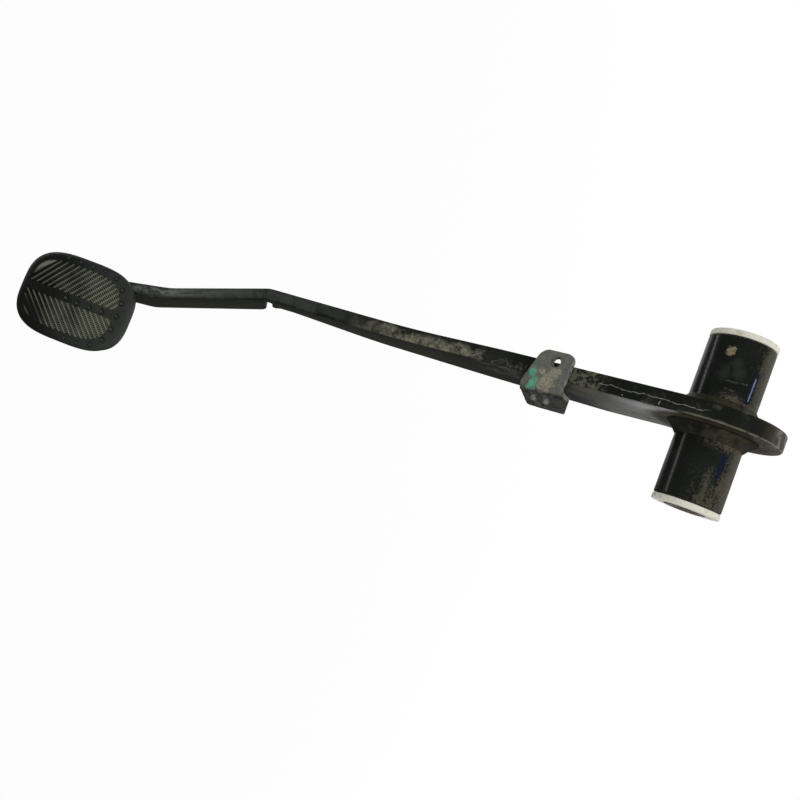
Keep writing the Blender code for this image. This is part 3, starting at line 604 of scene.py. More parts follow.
def bracketSkin():
    # A grid of the sheet's middle, raised where the two darts are pressed over the bend:
    # a bell across each, a half sine along it. Use has left the sheet a little uneven.
    b = bracketShape
    total = flapLength + bendLength + b["webLength"]
    counts = b["rowCounts"]
    corner = b["corner"] * (1 - np.cos(np.linspace(0, math.pi / 2, counts[0])))
    middle = np.linspace(b["corner"], flapLength, counts[1])[1:]
    bend = flapLength + np.linspace(0, bendLength, counts[2])[1:]
    web = np.linspace(flapLength + bendLength, total - b["corner"], counts[3])[1:-1]
    along = np.concatenate((corner, middle, bend, web, total - corner[::-1]))
    low, high = sheetEdges(along)
    share = np.linspace(0, 1, b["columns"])
    across = low[:, None] + (high - low)[:, None] * share
    along = np.broadcast_to(along[:, None], across.shape)
    rise = np.clip((along - flapLength + b["dartLead"]) / b["dartLength"], 0, 1)
    width = (high - low)[:, None] / b["dartWidth"]
    bell = sum(np.exp(-((share - place) * width) ** 2) for place in b["dartShares"])
    lift = b["dartHeight"] * np.sin(math.pi * rise) ** 0.7 * bell
    flat = np.stack((along, across, np.zeros_like(along)), -1)
    lift = lift + b["uneven"] * ripples(flat, 0.011, 21) * step(along, 0.002, 0.008)
    grid = hang(onBracket(sheetPoint(along, across, lift)))
    piece = skinPiece("switchBracket", [(grid, False, False)])
    wall = piece.modifiers.new("sheet", "SOLIDIFY")
    wall.thickness, wall.offset, wall.use_even_offset = b["sheet"], 0, True
    rim = piece.modifiers.new("edges", "BEVEL")
    rim.width, rim.segments, rim.limit_method = b["edgeRound"], 3, "ANGLE"
    rim.angle_limit, rim.use_clamp_overlap = math.radians(50), True
    finishModifiers(piece)
    return piece


def pinPlace():
    along = np.array(flapLength + bendLength + bracketShape["webLength"] - bracketShape["pinFromEnd"])
    low, high = sheetEdges(along)
    return onBracket(sheetPoint(along, (low + high) / 2, np.zeros(())))


# Weld beads

beadShape = {
    # the ripples: how far apart, how deep, how flat-topped, how far each bows forward and stands out
    "pitch": 0.0012, "ripple": 0.05, "flatness": 0.6, "bow": 0.5, "rise": 0.35,
    # slow changes in width, and how far the face stands out past its chord
    "wander": 0.07, "bulge": -0.25,
    "eyeLeg": 0.0042, "eyeRows": 900, "bracketLeg": 0.0022, "bracketRun": 0.014, "bracketRows": 120,
    "footLeg": 0.0026, "footFrom": 0.0285, "footTo": 0.052, "footRows": 190,
}


def beadSkin(name, root, wall, floor, leg, closed, seed):
    # Carried along the root line: an arc from one plate to the other, whose reach swells
    # once per ripple; each ripple bows forward in its middle as a cooling puddle does.
    b = beadShape
    length = runLength(root)
    angle = np.linspace(0, math.pi / 2, 11)
    bow = np.sin(2 * angle)[None]
    count = length / b["pitch"]
    if closed:
        turns = round(length[-1] / b["pitch"] * len(root) / (len(root) - 1))
        count = np.arange(len(root)) / len(root) * turns
    phase = (count[:, None] + b["bow"] * bow) % 1
    swell = 1 + b["ripple"] * (np.sin(math.pi * phase) ** b["flatness"] - 0.6)
    swell = swell * (1 + b["wander"] * ripples(root, 0.012, seed)[:, None])
    chord = 1 / (np.cos(angle) + np.sin(angle))
    reach = leg * (chord + (1 - chord) * b["bulge"] + (swell - 1) * b["rise"] * bow)
    if not closed:
        ends = np.minimum(np.linspace(0, 1, len(root)), np.linspace(1, 0, len(root)))
        reach = reach * np.sqrt(np.clip(ends * length[-1] / leg, 0.02, 1))[:, None]
    arc = root[:, None] + reach[..., None] * (np.cos(angle)[:, None] * wall[:, None]
                                              + np.sin(angle)[:, None] * floor[:, None])
    skin = np.concatenate((root[:, None], arc), 1)
    grids = [(hang(skin), closed, True)]
    if not closed:
        for row in (skin[0], skin[-1]):
            middle = np.broadcast_to(row.mean(0), row.shape)
            grids.append((hang(np.stack((middle, row))), False, True))
    return skinPiece(name, grids, 60)


def eyeWeld(name, side, seed):
    # a ring in the corner between the tube and the arm's side
    out = circle(beadShape["eyeRows"])
    root = out * (tubeShape["radius"] + seatGap) + (side * (armShape["thickness"] / 2 + seatGap), 0, 0)
    along = np.broadcast_to((float(side), 0, 0), out.shape)
    return beadSkin(name, root, out, along, beadShape["eyeLeg"], True, seed)


# Pivot tube, bushes, sleeve

tubeShape = {"radius": 0.013, "inner": 0.010, "length": 0.0652, "outerEdge": 0.0006, "innerEdge": 0.0004,
             "sides": 192, "wobble": 0.00003}
bushShape = {"radius": 0.0131, "flange": 0.0024, "edge": 0.0005, "spigot": 0.014, "bore": 0.0081,
             "boreEdge": 0.0003, "seatEdge": 0.0001, "sides": 128, "wobble": 0.00002}
sleeveShape = {"radius": 0.008, "bore": 0.0058, "reach": 0.0357, "chamfer": 0.0006, "sides": 128}


def turnedSkin(name, corners, sides, wobble=0.0, seed=1, swing=True):
    # a closed outline (distance along X, radius) carried round the X axis, very slightly out of true
    line = roundedLine(corners, closed=True)[0]
    closing = np.concatenate((line, line[:1]))
    length = runLength(closing)
    places = np.concatenate([np.linspace(a, b, max(2, int((b - a) / 0.003) + 1), endpoint=False)
                             for a, b in zip(length[:-1], length[1:])])
    line = pointsAt(closing, np.unique(np.round(places, 8)))
    ring = circle(sides)
    skin = line[:, None, 1:2] * ring[None] + line[:, None, :1] * (1, 0, 0)
    if wobble:
        skin = skin + ring[None] * (wobble * ripples(skin, 0.02, seed))[..., None]
    return skinPiece(name, [(hang(skin) if swing else skin, True, True)], 40)


# Rubber pad

padShape = {
    "halfWidth": 0.0254, "halfLength": 0.0343, "squareness": 3.4,
    "tread": 0.0050, "wall": 0.0026, "lip": 0.0045, "lipThickness": 0.0024,
    "edgeRound": 0.0042, "lipRound": 0.0015, "draft": 0.0010, "lipBevel": 0.0006, "lipSeat": 0.0004,
    "patternHalf": (0.0199, 0.0281), "patternShift": -0.0008, "band": 0.0026,
    "riseLeft": 0.80, "riseRight": 1.0, "pitch": 0.0037, "ribHalf": 0.00020, "flank": 0.00034,
    "groove": 0.0013, "tooth": 0.62, "toothPitch": 0.00115, "frame": 0.00022,
    "tipLeft": (0.0362, 0.0368), "tipRight": (0.0412, 0.0418), "tipSlant": 1.18, "tipDeep": 0.25,
    "wornCentre": (0.0225, -0.0320), "wornReach": (0.0200, 0.0240), "wornDeep": 0.00025,
    "pipRadius": 0.00150, "pipHeight": 0.0011, "pipRing": 0.00014,
    "slotHalf": (0.0040, 0.0045), "slotRise": 0.0001, "slotOut": 0.0002,
    "columns": 224, "rows": 300, "treadDeep": 0.0016,
}


padTurn = math.radians(90 - padPlace["tilt"])


def padOut(points):
    # pad's own (x, y, z) to the pedal: tipped so that the lower end is nearer the driver
    return hang(turned(points, padTurn) + padPlace["centre"])


def padBack(points):
    # the reverse
    return turned(turned(points, -hangAngle) - padPlace["centre"], -padTurn)


def bowedGrid(columns, rows, halfWidth, halfLength):
    # A square grid pulled onto the bowed rectangle |x/a|^n + |y/b|^n = 1:
    # straight in the middle, and following the outline more and more towards it.
    n = padShape["squareness"]
    p, q = np.meshgrid(np.linspace(-1, 1, columns), np.linspace(-1, 1, rows))
    reach = np.maximum(np.abs(p), np.abs(q))
    safe = np.maximum(reach, 1e-9)
    pull = (np.abs(p / safe) ** n + np.abs(q / safe) ** n) ** (-1 / n)
    scale = 1 + (pull - 1) * reach ** 3
    return np.stack((halfWidth * p * scale, halfLength * q * scale), -1)


def bowedReach(x, y, halfWidth, halfLength):
    # 0 in the middle of a bowed rectangle and 1 on its outline
    n = padShape["squareness"]
    return (np.abs(x / halfWidth) ** n + np.abs(y / halfLength) ** n) ** (1 / n)


def pipPlaces():
    # a row down each side and round the upper end, and one on the band; two are worn away
    left = [(-0.0224, y) for y in (-0.0120, -0.0040, 0.0040, 0.0120)]
    right = [(0.0224, y) for y in (0.0040, 0.0120)]
    corner = [(0.0205, 0.0202), (0.0155, 0.0262), (0.0080, 0.0288)]
    band = [(0.0004, -0.0036), (0.0010, 0.0036), (0.0009, 0.0118), (0.0006, 0.0196)]
    return left + right + corner + [(-x, y) for x, y in corner] + [(0.0, 0.0290)] + band


def treadForm(x, y):
    # Height over the plain face. Inside the panels it drops to the groove floor, except on
    # ribs that climb outwards at an even pitch; teeth stand across the grooves between them.
    p = padShape
    out = np.abs(x) - p["band"]
    rise = np.where(x < 0, p["riseLeft"], p["riseRight"])
    lean = 1 / np.sqrt(1 + rise ** 2)
    phase = (y - p["patternShift"] - out * rise) / p["pitch"]
    fromRib = np.abs((phase % 1) - 0.5) * p["pitch"] * lean
    alongRib = (out + (y - p["patternShift"]) * rise) * lean
    groove = step(fromRib, p["ribHalf"], p["ribHalf"] + p["flank"])
    inside = bowedReach(x, y - p["patternShift"], *p["patternHalf"])
    panel = step(inside, 1.0, 0.975) * step(out, 0.0, 0.0004)
    # the driver's heel has worn the lower right corner smooth
    fromWorn = np.stack((x, y), -1) - p["wornCentre"]
    worn = step(np.linalg.norm(fromWorn / p["wornReach"], axis=-1), 1.0, 0.6)
    # no groove is cut outside a slanted line across the lower end of each panel
    tip = np.where(x < 0, step(-x - y, *p["tipLeft"]), step(p["tipSlant"] * x - y, *p["tipRight"]))
    tip = tip * (y < 0)
    tooth = (0.5 + 0.5 * np.cos(2 * math.pi * alongRib / p["toothPitch"])) * step(y, -0.026, -0.004)
    pit = panel * groove * (1 - worn) * (1 - tip)
    height = -p["groove"] * pit * (1 - p["tooth"] * tooth) - p["wornDeep"] * worn
    height = height - p["groove"] * p["tipDeep"] * panel * tip
    edging = np.exp(-((inside - 1.012) / 0.014) ** 2) * step(y, -0.010, 0.012) * (out > 0)
    height = height + p["frame"] * edging
    for cx, cy in pipPlaces():
        near = np.hypot(x - cx, y - cy) / p["pipRadius"]
        dome = np.sqrt(np.clip(1 - near ** 2, 0, 1)) ** 0.8
        height = np.maximum(height, np.where(near < 1, p["pipHeight"] * dome, -1))
        height = height - p["pipRing"] * np.exp(-((near - 1.15) / 0.15) ** 2)
    crest = panel * (1 - groove) * (1 - worn) * (1 - tip)
    # the tops of the pips carry a painted highlight
    pip, pipHighlight = step(height, 0.0001, 0.0004), step(height, 0.00088, 0.00106)
    return height, {"pit": pit, "crest": crest, "tooth": tooth, "worn": worn, "tip": tip * panel,
                    "pip": pip, "pipHighlight": pipHighlight}


def padSkin():
    # Tread: a height over the bowed grid. Skirt: a profile carried round the grid's border,
    # over the rounded edge, down the wall, under the lip and back up inside to the plate.
    p = padShape
    a, b, r, front = p["halfWidth"], p["halfLength"], p["edgeRound"], p["tread"]
    back = -padPlace["plate"] - seatGap
    heel = back - p["lipThickness"]

    face = bowedGrid(p["columns"], p["rows"], a - r, b - r)
    x, y = face[..., 0], face[..., 1]
    near = bowedReach(x, y, a - r, b - r)
    tread = np.stack((x, y, front + treadForm(x, y)[0] * step(near, 1.0, 0.985)), -1)

    border = np.concatenate((face[0, :-1], face[:-1, -1], face[-1, :0:-1], face[:0:-1, 0]))
    tangent = tangents(border)
    outward = np.stack((tangent[:, 1], -tangent[:, 0]), -1)

    # the slot in the lip where the arm's foot comes down to the plate
    corner = folded(np.array((0.0, armShape["frontShoulder"][0], footCorner())))
    flatten = math.cos(padTilt)
    top = (corner[0] - padPlace["centre"][0], (corner[2] - padPlace["centre"][2]) / flatten)
    lean = math.tan(foldTurn) * flatten
    fromFoot = np.abs(border[:, 0] - (top[0] - lean * (border[:, 1] - top[1])))
    slot = (1 - step(fromFoot, *p["slotHalf"])) * (border[:, 1] > 0)

    angle = np.linspace(math.pi / 2, 0, 12)[1:]
    # (outwards from the border, height, at the slot: 0 unchanged, 1 raised, 2 raised and drawn out)
    levels = [(r * math.cos(t), front - r * (1 - math.sin(t)), 0) for t in angle]
    low = p["lipRound"]
    for t in np.linspace(0, math.pi / 2, 5):
        levels.append((r - p["draft"] - low * (1 - math.cos(t)), heel + low * (1 - math.sin(t)), 1))
    inner = r - p["wall"]
    lipIn = inner - p["lip"]
    bevel, seat = p["lipBevel"], p["lipSeat"]
    levels += [(lipIn + bevel, heel, 2), (lipIn, heel + bevel, 2), (lipIn, back - seat, 2),
               (lipIn + seat, back, 2), (inner, back, 0), (inner, seatGap, 0)]
    skirt = []
    for reach, z, kind in levels:
        out, high = np.full(len(border), reach), np.full(len(border), z)
        if kind:
            high = high + slot * np.maximum(back - p["slotRise"] - z, 0)
        if kind == 2:
            out = out + slot * (inner + p["slotOut"] - reach)
        place = border + outward * out[:, None]
        skirt.append(np.concatenate((place, high[:, None]), -1))
    first = np.concatenate((border, np.full((len(border), 1), front)), -1)
    rings = np.stack([first] + skirt, 1)
    under = np.stack((rings[:, -1], np.broadcast_to((0.0, 0.0, seatGap), rings[:, -1].shape)), 1)
    piece = skinPiece("padCover", [(padOut(tread), False, False), (padOut(rings), True, False),
                                   (padOut(under), True, False)], 50)
    local = padBack(vectorsOf(piece.data.vertices))
    onTop = local[:, 2] > front - p["treadDeep"]
    treadMasks = treadForm(local[:, 0], local[:, 1])[1]
    storeOnPoints(piece, padAt=local, **{name: values * onTop for name, values in treadMasks.items()})
    return piece


# Finishes

blackPaint = (0.0078, 0.0094, 0.0076)
dulledPaint = (0.0128, 0.0152, 0.0122)
greyFilm = (0.034, 0.041, 0.033)     # the thin even dust that dulls the paint
tanDust = (0.165, 0.155, 0.100)
brownDirt = (0.068, 0.052, 0.027)
darkDirt = (0.046, 0.039, 0.022)
paleScrapeAndGlint = (0.42, 0.41, 0.36)
paintedBlueReflection = (0.004, 0.009, 0.028)

# where the wear lies on the arm, as (x, y, distance down the arm)
armWear = {
    # distances down the arm: from nothing to full, and from full to nothing
    "powder": (0.094, 0.110, 0.148, 0.190), "speckled": (0.036, 0.047, 0.056, 0.068),
    "below": (0.070, 0.084, 0.096, 0.112), "belowFront": (0.068, 0.074, 0.082, 0.094),
    "brown": (0.040, 0.054, 0.058, 0.078), "crack": (-0.003, 0.001, 0.0415, 0.0435),
    "crackX": 0.0006,
    # straight marks, from start to end
    "ticks": [
        ((0.0012, -0.0235, 0.0165), (0.0036, -0.0240, 0.0170)),
        ((0.0027, -0.0213, 0.0318), (0.0036, -0.0218, 0.0312)),
        ((-0.0022, -0.0009, 0.2764), (0.0026, -0.0009, 0.2770))],
    "hairs": [
        ((0.0034, -0.0086, 0.1088), (0.0004, -0.0102, 0.1008)),
        ((0.0012, -0.0098, 0.1030), (0.0034, -0.0108, 0.0978)),
        ((0.0010, -0.0098, 0.1026), (-0.0012, -0.0106, 0.0992)),
        ((0.0030, -0.0115, 0.0944), (0.0006, -0.0126, 0.0886)),
        ((-0.0004, -0.0128, 0.0880), (0.0026, -0.0133, 0.0852)),
        ((-0.0010, -0.0260, 0.0034), (0.0012, -0.0262, 0.0006))],
    "darkRuns": [
        ((0.0030, -0.0005, 0.1915), (0.0026, -0.0005, 0.2025)),
        ((0.0032, -0.0002, 0.2180), (0.0030, 0.0, 0.2620))],
    # spots, centre and radii
    # painted glints on the eye's front band
    "paintedGlints": [
        ((-0.0018, -0.0257, -0.0038), (0.0014, 0.0020, 0.0022)),
        ((0.0030, -0.0252, -0.0065), (0.0010, 0.0020, 0.0026))],
}


def armFinish():
    f = Finish("armPaint")
    w = armWear
    at = f.attribute("flatAt", "Vector")
    x, y, s = f.parts(at)
    facing = f.parts(f.attribute("facing", "Vector"))
    edge = f.attribute("edge")
    driver = f.fade(facing[1], -0.35, -0.80)
    right = f.fade(facing[0], 0.45, 0.85)
    cloud, patchy, fine, grit = f.grains(at, 38, 140, 620, 2300)
    streaks = f.noise(640, 4.0, 0.6, f.stretched((1, 1, 0.09), at))
    around = f.length(f.stretched((0, 1, 1), at))
    even = patchy * 0.5 + fine * 0.5

    # a dull dust film over the stem and the middle of the arm, with painted shading: lighter across the
    # middle of the front band, darker towards its edges; two darker runs along the band's +X corner break it
    filmAndShade = f.fade(s, 0.150, 0.215) * driver * (0.35 + 0.65 * f.fade(patchy, 0.36, 0.62))
    filmAndShade = filmAndShade * (0.45 + 0.55 * f.fade(abs(x + 0.0002), 0.0036, 0.0018))
    filmAndShade = f.smaller(filmAndShade + 0.30 * f.fade(cloud, 0.45, 0.70), 1.0)
    filmAndShade = filmAndShade * (1 - f.most(f.scratch, w["darkRuns"], 0.0014, at, 1.0) * 0.9)
    # painted highlight: paler streaks down the middle of the stem's front, brightest by the pad
    stemSheen = driver * f.fade(abs(x + 0.0004), 0.0029, 0.0008)
    stemSheen = stemSheen * f.fade(s, 0.225, 0.318) * f.fade(streaks, 0.38, 0.62)

    # pale powder on the driver's edge of the middle, denser towards the right side
    powder = driver * f.between(s, *w["powder"]) * f.fade(x + (patchy - 0.5) * 0.009, -0.0026, 0.0004)
    powder = powder * f.fade(patchy * 0.45 + fine * 0.35 + streaks * 0.20, 0.38, 0.60)
    # speckled dirt just above the bracket, and more just below it
    speckled = f.larger(driver * 0.9, right * f.fade(y, 0.012, 0.002) * 0.8)
    speckled = speckled * f.between(s, *w["speckled"]) * f.fade(fine * 0.6 + patchy * 0.4, 0.44, 0.54)
    below = right * f.fade(y, 0.014, 0.002) * f.between(s, *w["below"]) * f.fade(even, 0.48, 0.58)
    belowFront = driver * f.fade(x, -0.0006, 0.0026) * f.between(s, *w["belowFront"])
    below = f.larger(below, belowFront * f.fade(even, 0.46, 0.58) * 0.8)
    # brown dirt gathered on the eye, round the tube and beside the bracket
    gathered = f.larger(f.fade(around, 0.0265, 0.0195), f.fade(s, 0.004, -0.012) * 0.7)
    gathered = gathered * (1 - driver) * f.fade(patchy * 0.6 + fine * 0.4, 0.30, 0.50)
    brown = (1 - driver) * f.between(s, *w["brown"]) * f.fade(cloud, 0.40, 0.60)
    scattered = f.fade(even, 0.545, 0.62) * f.fade(s, 0.130, 0.030) * 0.5

    # painted reflection: the side face is paler between the bracket and the eye, fading into painted shade
    # towards the bracket; it is thinly dusted further down
    sideReflection = right * f.fade(s, 0.056, 0.034) * f.fade(around, 0.0195, 0.024)
    sideReflection = sideReflection * f.fade(cloud * 0.5 + patchy * 0.5 + y * 9.0, 0.34, 0.58)
    thin = (1 - driver) * f.fade(s, 0.060, 0.150) * (0.4 + 0.6 * f.fade(streaks, 0.36, 0.60))

    # scrapes: one long wandering crack, ticks and hair lines; painted glints on the eye's front band; the
    # eye's worn tip; and a pale line along the eye's lower edge, dust with a painted edge highlight
    wander = (f.noise1D(s, 150.0, 4.0) - 0.5) * 0.0030
    crack = f.fade(abs(x - w["crackX"] - wander), 0.00024, 0.00005)
    crack = crack * driver * f.between(s, *w["crack"]) * f.fade(fine, 0.30, 0.50)
    scrapeAndGlint = f.larger(crack * 0.45,
                      f.most(f.scratch, w["ticks"], 0.00028, at, 0.8) * 0.75,
                      f.most(f.scratch, w["hairs"], 0.00024, at, 1.8) * 0.14,
                      f.most(f.spot, w["paintedGlints"], 0.9, at, 1.8, 700) * 0.07)
    tip = f.fade(s, -0.0195, -0.0245) * f.fade(y, -0.014, -0.007) * f.fade(patchy, 0.38, 0.60) * 0.30
    # painted edge highlight, in dust colours, along the eye's lower edge
    rim = edge * f.fade(s, 0.012, 0.002) * f.between(facing[0], 0.1, 0.4, 0.90, 0.98)
    rim = rim * f.fade(patchy, 0.30, 0.46) * 0.65

    dirt = f.larger(gathered, brown * 0.8, scattered) * f.fade(grit, 0.16, 0.45)
    dirt = f.smaller(dirt, 1.0)
    # the tan coat also carries the painted edge highlight of rim
    tan = f.larger(powder, speckled * 0.60, below * 0.55, rim) * f.fade(grit, 0.15, 0.55)
    chipped = f.larger(edge * f.fade(patchy, 0.58, 0.68), f.fade(fine, 0.70, 0.74) * 0.6)
    thinDust = f.mix(f.fade(y, -0.002, 0.014), (0.024, 0.026, 0.017), (0.052, 0.050, 0.034))
    # colours of the painted highlight on the stem, paler towards the pad
    stemSheenColour = f.mix(f.fade(s, 0.285, 0.312), (0.088, 0.100, 0.085), (0.170, 0.185, 0.165))
    colour = f.coats(
        f.mix(f.fade(cloud, 0.35, 0.75), blackPaint, dulledPaint),
        (filmAndShade, greyFilm), (thin * 0.55, thinDust), (stemSheen * 0.60, stemSheenColour),
        (sideReflection * 0.80, (0.125, 0.125, 0.108)), (dirt * 0.80, f.mix(fine, brownDirt, darkDirt)),
        (tan * 0.88, f.mix(patchy, tanDust, (0.300, 0.288, 0.205))),
        (chipped * 0.40, (0.120, 0.108, 0.085)), (f.larger(scrapeAndGlint, tip), paleScrapeAndGlint))
    dull = f.larger(dirt, tan, filmAndShade * 0.5)
    return f.surface(colour, 0.24 + 0.10 * cloud + 0.34 * dull + 0.16 * sideReflection, 0.35,
                     (cloud, 0.00012), (f.noise(1300, 2.0, 0.5), 0.000015),
                     (grit * f.larger(dirt, tan), 0.00006), (1 - scrapeAndGlint, 0.00003))


def onTube(along, degrees):
    # a place on the tube: distance along X in metres, and degrees from the driver's side upwards
    turn = math.radians(degrees)
    return along, -tubeShape["radius"] * math.cos(turn), tubeShape["radius"] * math.sin(turn)


tubeWear = {
    # spots, centre and radii
    "chip": (onTube(-0.0264, -3), (0.0022, 0.0022, 0.0019)),
    # pale smudges high on the tube, partly dust and partly a painted soft highlight
    "smudgeHighlights": [(onTube(*place), (0.0048, 0.0050, 0.0034))
                for place in ((-0.0222, 14), (-0.0190, 20), (-0.0178, -2))],
    "fleck": (onTube(-0.0092, 20), (0.0022, 0.0050, 0.0056)),
    # straight marks, from start to end
    "scuffs": [(onTube(-0.0152, 16), onTube(-0.0158, 40)), (onTube(-0.0120, 6), onTube(-0.0118, 22)),
               (onTube(-0.0150, 6), onTube(-0.0150, 20))],
    # painted reflection of a bluish overhead light: dark blue halos along the tube, one with a pale core
    # line
    "blue": [(onTube(-0.0205, 54), onTube(-0.0100, 50)), (onTube(0.0125, 46), onTube(0.0200, 44))],
    "blueCore": (onTube(-0.0190, 52), onTube(-0.0104, 51)),
}


def tubeFinish():
    f = Finish("tubePaint")
    w = tubeWear
    x, z = f.parts(f.object)[::2]
    cloud, patchy, fine, grit = f.grains(None, 70, 260, 1100, 2600)
    streaks = f.noise(520, 4.0, 0.6, f.stretched((0.18, 1, 1)))
    upper = f.fade(z, 0.0070, 0.0124)          # the side away from the pad
    junction = f.fade(abs(x), 0.0125, 0.0080) * f.fade(z, -0.004, 0.008)
    farEnd = f.fade(x, 0.0110, 0.0240) * f.fade(z, -0.004, 0.0085)
    spread = f.larger(upper * 0.80, junction, farEnd * 0.80)
    stipple = f.fade(fine * 0.45 + patchy * 0.25 + streaks * 0.30 + spread * 0.15, 0.545, 0.640)
    dirt = f.smaller(stipple * (0.12 + 0.88 * spread) * f.fade(grit, 0.22, 0.48), 1.0)

    smudgeHighlight = f.most(f.spot, w["smudgeHighlights"], 0.95, None, 1.4, 300)
    scuff = f.larger(f.spot(*w["fleck"], 0.5) * f.fade(grit, 0.60, 0.68) * 0.8,
                     f.most(f.scratch, w["scuffs"], 0.00045, None, 3.0) * 0.09)
    # painted reflection of a bluish light: halos and their core line
    blue = f.most(f.scratch, w["blue"], 0.0021, None, 0.5, 160, 0.9)
    core = f.scratch(*w["blueCore"], 0.00050, None, 0.6, 300, 0.9)
    chip = f.spot(*w["chip"], 0.35, None, 1.8, 620)
    rusty = junction * f.fade(patchy * 0.5 + fine * 0.5, 0.42, 0.56)

    colour = f.coats(
        f.mix(f.fade(cloud, 0.35, 0.75), blackPaint, (0.0122, 0.0150, 0.0120)),
        (smudgeHighlight * 0.22, (0.070, 0.078, 0.068)),
        (dirt * 0.75, f.mix(patchy, (0.062, 0.055, 0.033), (0.110, 0.097, 0.058))),
        (rusty * 0.5, (0.115, 0.088, 0.052)), (blue * 0.85, paintedBlueReflection),
        (core * 0.75, (0.230, 0.270, 0.400)), (scuff, paleScrapeAndGlint),
        (chip * f.fade(fine, 0.34, 0.52), f.mix(patchy, (0.150, 0.115, 0.062), (0.270, 0.225, 0.140))))
    return f.surface(colour, 0.16 + 0.08 * cloud + 0.40 * dirt + 0.20 * smudgeHighlight, 0.40,
                     (cloud, 0.00008), (f.noise(1300, 2.0, 0.5), 0.000010),
                     (grit * dirt, 0.00006), (1 - chip, 0.00010))


def dirtyPaintFinish(name, dirtiness, seed):
    # painted steel of the smaller pieces: browner where dirtiness is higher, and higher up
    f = Finish(name)
    at = f.stretched((1, 1, 1), shift=(seed, 0, 0))
    cloud, patchy = f.grains(at, 70, 300)
    grit = f.noise(2200, 3.0, 0.7, at)
    dirt = f.fade(cloud * 0.4 + patchy * 0.6, 0.60 - dirtiness * 0.24, 0.70 - dirtiness * 0.16)
    dirt = dirt * f.fade(grit, 0.16, 0.45) * (0.30 + 0.70 * f.fade(f.parts(f.object)[2], -0.008, 0.010))
    colour = f.coats(f.mix(f.fade(cloud, 0.35, 0.75), blackPaint, dulledPaint),
                     (dirt * 0.8, f.mix(f.noise(420, 3.0, 0.6, at), darkDirt, brownDirt)))
    return f.surface(colour, 0.26 + 0.12 * cloud + 0.40 * dirt, 0.35,
                     (cloud, 0.00008), (f.noise(1300, 2.0, 0.5, at), 0.000015), (grit * dirt, 0.00007))


def plasticFinish():
    f = Finish("bushPlastic")
    grime = f.fade(f.noise(420, 5.0, 0.65), 0.50, 0.70)
    colour = f.coats(f.mix(f.noise(160, 4.0, 0.6), (0.60, 0.59, 0.49), (0.72, 0.71, 0.61)),
                     (grime * 0.4, (0.22, 0.19, 0.13)))
    return f.surface(colour, 0.42 + 0.3 * grime, 0.5, (f.noise(900, 3.0), 0.00003))


def steelFinish():
    f = Finish("sleeveSteel")
    lathe = f.noise1D(f.parts(f.object)[0], 5200.0, 2.0)
    stain = f.fade(f.noise(260, 5.0, 0.65), 0.48, 0.66)
    colour = f.mix(stain, (0.42, 0.41, 0.38), (0.16, 0.10, 0.06))
    f.plug(f.shader.inputs["Metallic"], 1 - 0.7 * stain)
    return f.surface(colour, 0.30 + 0.35 * stain + 0.1 * lathe, 0.5,
                     (lathe, 0.00002), (f.noise(1500) * stain, 0.00005))


def rubberFinish():
    f = Finish("padRubber")
    at = f.attribute("padAt", "Vector")
    pit, worn, crest, tooth, tip, pip, pipHighlight = (
        f.attribute(name) for name in ("pit", "worn", "crest", "tooth", "tip", "pip", "pipHighlight"))
    cloud = f.noise(110, 5.0, 0.6, at)
    fine = f.noise(1400, 3.0, 0.7, at)
    # painted sheen: dull blue grey towards the end away from the driver's heel; the lower end, polished by
    # the heel, stays black
    upperEndSheen = f.fade(f.parts(at)[1], -0.018, 0.022)
    dusty = f.fade(f.noise(60, 4.0, 0.6, at), 0.25, 0.60) * (0.55 + 0.45 * upperEndSheen)
    colour = f.coats(
        f.mix(upperEndSheen * (0.5 + 0.5 * cloud), (0.0070, 0.0083, 0.0066), (0.0330, 0.0390, 0.0335)),
        # painted highlight on the tops of the pips
        (pip, (0.0080, 0.0100, 0.0088)), (pipHighlight * 0.45, (0.085, 0.095, 0.085)),
        (pit * dusty * tooth ** 2 * 0.95, (0.190, 0.188, 0.130)),
        (crest * (0.30 + 0.50 * dusty), (0.200, 0.205, 0.155)),
        # painted reflection: the smooth lens at the lower end of each panel is paler
        (tip * (1 - worn * 0.3) * f.fade(fine, 0.10, 0.50), (0.135, 0.142, 0.112)))
    rough = 0.38 + 0.14 * cloud + 0.30 * f.larger(pit, crest) - 0.14 * f.larger(worn, pip)
    return f.surface(colour, rough, 0.40, (cloud, 0.00010), (fine, 0.000030))


# spots on the flap, centre and radii
bracketWear = {
    "green": [((0.0030, -0.0062, 0.0015), (0.0036, 0.0021, 0.003)),
              ((0.0078, -0.0040, 0.0015), (0.0042, 0.0023, 0.003)),
              ((0.0098, -0.0052, 0.0015), (0.0022, 0.0026, 0.003))],
    "tan": [((0.0012, 0.0038, 0.0015), (0.0030, 0.0034, 0.004)),
            ((0.0062, 0.0012, 0.0015), (0.0042, 0.0046, 0.004)),
            ((0.0020, -0.0022, 0.0015), (0.0016, 0.0026, 0.004))],
    "holeWall": (0.0026, 0.0026, 0.004),
}


